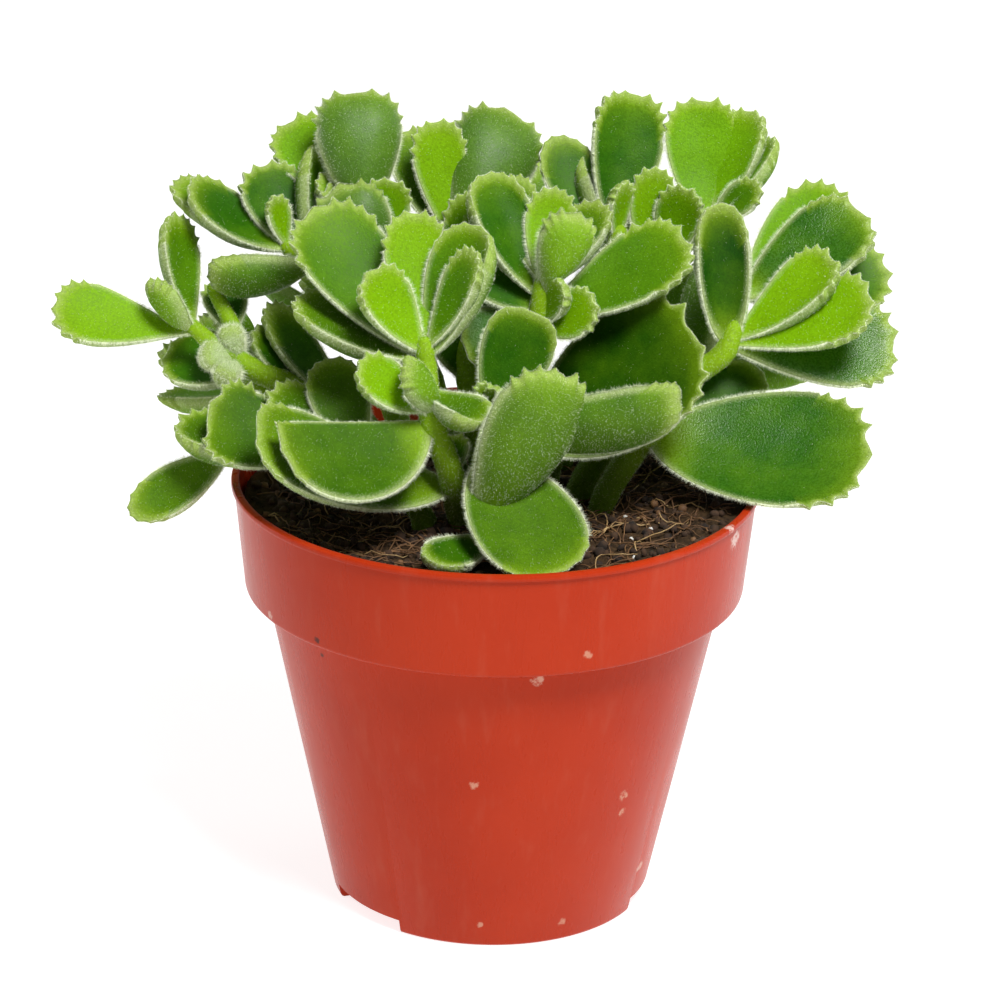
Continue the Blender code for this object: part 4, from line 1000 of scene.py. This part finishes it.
def pot_profile():
    """Half of the pot's section, from the lip down the outside, under the foot and up the inside."""
    lip_foot = POT_HEIGHT - LIP_HEIGHT
    floor_top = FLOOR_Z + FLOOR_THICKNESS
    foot_in = BODY_FOOT_RADIUS - 2.2
    ledge = COLLAR_FOOT_Z + WALL
    return [
        (COLLAR_TOP_RADIUS - WALL + 0.2, POT_HEIGHT - 0.1),
        (COLLAR_TOP_RADIUS - WALL + 0.5, POT_HEIGHT),
        (LIP_RADIUS - 0.45, POT_HEIGHT),
        (LIP_RADIUS - 0.12, POT_HEIGHT - 0.15),
        (LIP_RADIUS, POT_HEIGHT - 0.45),
        (LIP_RADIUS, lip_foot + 0.35),
        (LIP_RADIUS - 0.12, lip_foot + 0.12),
        (COLLAR_TOP_RADIUS, lip_foot),
        (COLLAR_FOOT_RADIUS + 0.06, COLLAR_FOOT_Z + 0.8),
        (COLLAR_FOOT_RADIUS - 0.05, COLLAR_FOOT_Z + 0.35),
        (COLLAR_FOOT_RADIUS - 0.3, COLLAR_FOOT_Z + 0.08),
        (COLLAR_FOOT_RADIUS - 0.6, COLLAR_FOOT_Z),
        (BODY_TOP_RADIUS + 0.25, COLLAR_FOOT_Z),
        (BODY_TOP_RADIUS - 0.05, COLLAR_FOOT_Z - 0.25),
        (BODY_FOOT_RADIUS + 0.1, 0.7),
        (BODY_FOOT_RADIUS - 0.15, 0.25),
        (BODY_FOOT_RADIUS - 0.6, 0.0),
        (foot_in + 0.4, 0.0),
        (foot_in, 0.4),
        (foot_in - 0.6, FLOOR_Z),
        (PAD_RADIUS + 2.0, FLOOR_Z),
        (PAD_RADIUS, 0.0),
        (0.0, 0.0),
        (0.0, floor_top),
        (body_inside(floor_top) - 1.0, floor_top),
        (body_inside(floor_top + 1.0), floor_top + 1.0),
        (body_inside(ledge), ledge),
        (collar_inside(ledge), ledge),
        (collar_inside(lip_foot), lip_foot),
    ]


def turned(name, profile, steps):
    """A closed profile turned about Z, as points and faces."""
    verts, faces, rows = [], [], []
    for radius, z in profile:
        rows.append(len(verts))
        if radius == 0.0:
            verts.append((0.0, 0.0, z * MM))
            continue
        for k in range(steps):
            turn = 2.0 * math.pi * k / steps
            verts.append((radius * MM * math.cos(turn), radius * MM * math.sin(turn), z * MM))
    for i in range(len(profile)):
        j = (i + 1) % len(profile)
        a, b = rows[i], rows[j]
        solo_a, solo_b = profile[i][0] == 0.0, profile[j][0] == 0.0
        if solo_a and solo_b:
            continue
        for k in range(steps):
            m = (k + 1) % steps
            if solo_a:
                faces.append((a, b + k, b + m))
            elif solo_b:
                faces.append((a + k, b, a + m))
            else:
                faces.append((a + k, b + k, b + m, a + m))
    mesh = bpy.data.meshes.new(name)
    mesh.from_pydata(verts, [], faces)
    bm = bmesh.new()
    bm.from_mesh(mesh)
    bmesh.ops.recalc_face_normals(bm, faces=bm.faces)
    bm.to_mesh(mesh)
    bm.free()
    obj = bpy.data.objects.new(name, mesh)
    bpy.context.scene.collection.objects.link(obj)
    return obj


def pot_cutters(home):
    """Notches through the foot ring and drain holes through the floor."""
    made = []
    for angle, width in NOTCH_PLACES:
        bm = bmesh.new()
        half, middle = math.radians(width / 2.0), math.radians(angle - 90.0)
        inner, outer, steps, low = BODY_FOOT_RADIUS - 6.0, BODY_FOOT_RADIUS + 3.0, 12, []
        for radius, order in ((inner, range(steps + 1)), (outer, range(steps, -1, -1))):
            for k in order:
                turn = middle - half + 2.0 * half * k / steps
                low.append(bm.verts.new((radius * MM * math.cos(turn), radius * MM * math.sin(turn), -MM)))
        face = bm.faces.new(low)
        top = bmesh.ops.extrude_face_region(bm, geom=[face])["geom"]
        lift = [v for v in top if isinstance(v, bmesh.types.BMVert)]
        bmesh.ops.translate(bm, verts=lift, vec=(0.0, 0.0, (NOTCH_HEIGHT + 1.0) * MM))
        bmesh.ops.recalc_face_normals(bm, faces=bm.faces)
        made.append(bm)
    for k in range(DRAIN_COUNT):
        turn = 2.0 * math.pi * (k + 0.5) / DRAIN_COUNT
        spot = Matrix.Translation((DRAIN_RING_RADIUS * MM * math.cos(turn), DRAIN_RING_RADIUS * MM * math.sin(turn),
                                   (FLOOR_Z + FLOOR_THICKNESS / 2.0) * MM))
        bm = bmesh.new()
        bmesh.ops.create_cone(bm, cap_ends=True, segments=28, radius1=DRAIN_RADIUS * MM,
                              radius2=DRAIN_RADIUS * MM, depth=3.0 * FLOOR_THICKNESS * MM, matrix=spot)
        made.append(bm)
    for bm in made:
        mesh = bpy.data.meshes.new("cutter")
        bm.to_mesh(mesh)
        bm.free()
        home.objects.link(bpy.data.objects.new("cutter", mesh))


def make_pot():
    pot = turned("pot_fine", pot_profile(), POT_STEPS)
    cutters = bpy.data.collections.new("cutters")
    bpy.context.scene.collection.children.link(cutters)
    pot_cutters(cutters)
    cut = pot.modifiers.new("cut", "BOOLEAN")
    cut.operation, cut.operand_type, cut.solver, cut.collection = "DIFFERENCE", "COLLECTION", "EXACT", cutters
    mesh = bpy.data.meshes.new_from_object(pot.evaluated_get(bpy.context.evaluated_depsgraph_get()))
    pot.modifiers.clear()
    pot.data = mesh
    for obj in list(cutters.objects):
        bpy.data.objects.remove(obj, do_unlink=True)
    bpy.data.collections.remove(cutters)
    mesh.shade_smooth()
    mesh.set_sharp_from_angle(angle=math.radians(38.0))
    mesh.materials.clear()
    mesh.materials.append(pot_material())
    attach(pot, "root")
    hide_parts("pot")


# Soil and what lies on it.

def rough_soil(x, y):
    """The soil's height with its crumbs, in millimetres."""
    spot = Vector((x, y, 0.0))
    crumbs = noise.noise(spot * 0.45) + 0.6 * noise.noise(spot * 1.1) + 0.35 * noise.noise(spot * 2.3)
    return soil_height(x, y) + 0.9 * crumbs


def make_soil(made):
    edge = collar_inside(SOIL_LEVEL) - TOUCH_GAP
    floor = FLOOR_Z + FLOOR_THICKNESS + TOUCH_GAP
    ledge = COLLAR_FOOT_Z + WALL + TOUCH_GAP
    sides = [
        (collar_inside(ledge) - TOUCH_GAP, ledge), (body_inside(ledge) - TOUCH_GAP, ledge),
        (body_inside(floor + 2.0) - TOUCH_GAP, floor + 2.0), (body_inside(floor + 2.0) - 2.5, floor),
    ]
    verts, faces = [Vector((0.0, 0.0, rough_soil(0.0, 0.0)))], []
    rows = [edge * (k + 1) / SOIL_RINGS for k in range(SOIL_RINGS)]
    for radius in rows:
        for k in range(SOIL_STEPS):
            turn = 2.0 * math.pi * k / SOIL_STEPS
            x, y = radius * math.cos(turn), radius * math.sin(turn)
            verts.append(Vector((x, y, rough_soil(x, y))))
    for radius, z in sides:
        for k in range(SOIL_STEPS):
            turn = 2.0 * math.pi * k / SOIL_STEPS
            verts.append(Vector((radius * math.cos(turn), radius * math.sin(turn), z)))
    verts.append(Vector((0.0, 0.0, floor)))
    count = SOIL_STEPS
    faces += [(0, 1 + k, 1 + (k + 1) % count) for k in range(count)]
    for row in range(len(rows) + len(sides) - 1):
        low, high = 1 + row * count, 1 + (row + 1) * count
        faces += [(low + k, high + k, high + (k + 1) % count, low + (k + 1) % count) for k in range(count)]
    last = 1 + (len(rows) + len(sides) - 1) * count
    faces += [(len(verts) - 1, last + (k + 1) % count, last + k) for k in range(count)]
    soil = piece("soil_fine", [v * MM for v in verts], faces, [made])
    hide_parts("soil")


def soil_spot(rng, margin=2.0):
    """A random place on the soil, kept off the pot's wall."""
    reach = (collar_inside(SOIL_LEVEL) - margin) * math.sqrt(rng.random())
    turn = rng.uniform(0.0, 2.0 * math.pi)
    return reach * math.cos(turn), reach * math.sin(turn)


def scatter_crumbs(name, count, sizes, made, seed):
    """Small irregular lumps that sit on the soil."""
    rng = random.Random(seed)
    verts, faces = [], []
    base = bmesh.new()
    bmesh.ops.create_icosphere(base, subdivisions=1, radius=1.0)
    ball = [v.co.copy() for v in base.verts]
    ball_faces = [tuple(v.index for v in f.verts) for f in base.faces]
    base.free()
    for number in range(count):
        x, y = soil_spot(rng)
        size = rng.uniform(*sizes)
        shape = Vector([rng.uniform(0.6, 1.2) for _ in range(3)]) * size
        turn = Matrix.Rotation(rng.uniform(0, 6.3), 3, Vector([rng.uniform(-1, 1) for _ in range(3)]).normalized())
        middle = Vector((x, y, rough_soil(x, y) + 0.25 * size))
        start = len(verts)
        for v in ball:
            bump = 1.0 + 0.35 * noise.noise(v * 1.7 + Vector((number, 0, 0)))
            verts.append(middle + turn @ Vector((v.x * shape.x, v.y * shape.y, v.z * shape.z)) * bump)
        faces += [tuple(k + start for k in f) for f in ball_faces]
    obj = piece(name, [v * MM for v in verts], faces, [made])


def scatter_fibres(name, count, lengths, radius, made, seed, lift=0.5):
    """Thin bent fibres that lie on the soil."""
    rng = random.Random(seed)
    verts, faces = [], []
    for number in range(count):
        x, y = soil_spot(rng, 4.0)
        turn, length = rng.uniform(0.0, 6.3), rng.uniform(*lengths)
        curl, rise = rng.uniform(-0.28, 0.28), rng.uniform(0.0, lift)
        line = []
        for k in range(FIBRE_POINTS):
            high = rise * math.sin(math.pi * k / (FIBRE_POINTS - 1))
            if math.hypot(x, y) > collar_inside(SOIL_LEVEL) - 1.5:
                break
            thin = 1.0 - 0.6 * k / FIBRE_POINTS
            line.append((Vector((x, y, rough_soil(x, y) + 0.35 + high)), radius * thin))
            turn += curl + rng.uniform(-0.25, 0.25)
            x += math.cos(turn) * length / FIBRE_POINTS
            y += math.sin(turn) * length / FIBRE_POINTS
        if len(line) < 3:
            continue
        new_verts, new_faces = tube(line, 4)
        start = len(verts)
        verts += new_verts
        faces += [tuple(k + start for k in f) for f in new_faces]
    obj = piece(name, [v * MM for v in verts], faces, [made])


def make_litter():
    peat = litter_material("peat crumb", (0.010, 0.006, 0.004), (0.075, 0.038, 0.018), 0.95)
    coir = litter_material("coir fibre", (0.070, 0.030, 0.012), (0.260, 0.130, 0.050))
    straw = litter_material("straw", (0.300, 0.170, 0.060), (0.560, 0.380, 0.170), 0.6)
    perlite = litter_material("perlite", (0.62, 0.60, 0.55), (0.85, 0.84, 0.80), 0.9)
    scatter_crumbs("soil_crumbs", 1500, (0.35, 1.3), peat, 11)
    scatter_crumbs("bark_crumbs", 90, (0.5, 1.1), coir, 12)
    scatter_crumbs("perlite_crumbs", 26, (0.35, 0.8), perlite, 13)
    scatter_fibres("coir_fibres", 420, (6.0, 22.0), 0.16, coir, 14, 1.2)
    scatter_fibres("straw_fibres", 90, (5.0, 16.0), 0.17, straw, 15, 1.6)


# Studio.

def make_light(name, spot, target, size, power, colour=(1.0, 1.0, 1.0)):
    light = bpy.data.lights.new(name, "AREA")
    light.shape = "RECTANGLE"
    light.size, light.size_y = size
    light.energy = power
    light.color = colour
    obj = bpy.data.objects.new(name, light)
    obj.location = spot
    obj.rotation_euler = (Vector(target) - Vector(spot)).to_track_quat("-Z", "Y").to_euler()
    obj.visible_camera = False
    bpy.context.scene.collection.objects.link(obj)


def make_studio():
    scene = bpy.context.scene
    world = bpy.data.worlds.new("studio")
    world.use_nodes = True
    world.node_tree.nodes["Background"].inputs["Color"].default_value = (1.0, 1.0, 1.0, 1.0)
    world.node_tree.nodes["Background"].inputs["Strength"].default_value = WORLD_STRENGTH
    scene.world = world
    make_light("key", (0.25, -0.45, 0.90), (0.0, 0.0, 0.10), (0.30, 0.30), KEY_POWER)
    for side in (-1.0, 1.0):
        make_light("side", (0.80 * side, 0.45, 0.30), (0.0, 0.0, 0.08), (0.70, 0.70), SIDE_POWER)
    made, shader = shader_of("white floor", 0.9)
    shader.inputs["Base Color"].default_value = (0.45, 0.45, 0.45, 1.0)
    shader.inputs["Emission Color"].default_value = (1.0, 1.0, 1.0, 1.0)
    shader.inputs["Emission Strength"].default_value = FLOOR_GLOW
    bm = bmesh.new()
    bmesh.ops.create_grid(bm, x_segments=1, y_segments=1, size=6.0)
    mesh = bpy.data.meshes.new("floor")
    bm.to_mesh(mesh)
    bm.free()
    mesh.materials.append(made)
    floor = bpy.data.objects.new("floor", mesh)
    scene.collection.objects.link(floor)
    scene.view_settings.view_transform = "Standard"


def make_camera():
    camera = bpy.data.cameras.new("camera")
    camera.sensor_width = 36.0
    camera.lens = CAMERA_LENS
    camera.clip_start = 0.01
    obj = bpy.data.objects.new("camera", camera)
    turned_to = Matrix((RIGHT, UP, -FORWARD)).transposed().to_4x4()
    obj.matrix_world = Matrix.Translation(Vector(EYE) * MM) @ turned_to
    bpy.context.scene.collection.objects.link(obj)
    bpy.context.scene.camera = obj


def main():
    make_camera()
    make_studio()
    make_pot()
    make_soil(soil_material())
    make_litter()
    for name, seed, root, head, pairs in BACK_SHOOTS:
        SHOOTS[name] = ruled_shoot(seed, root, head, pairs)
    flesh = [leaf_material("leaf flesh", 0.10, 0.00008), leaf_material("glossy leaf flesh", 0.30, 0.00012)]
    hair = hair_material()
    for name, plan in SHOOTS.items():
        make_shoot(name, plan, flesh, hair)


main()
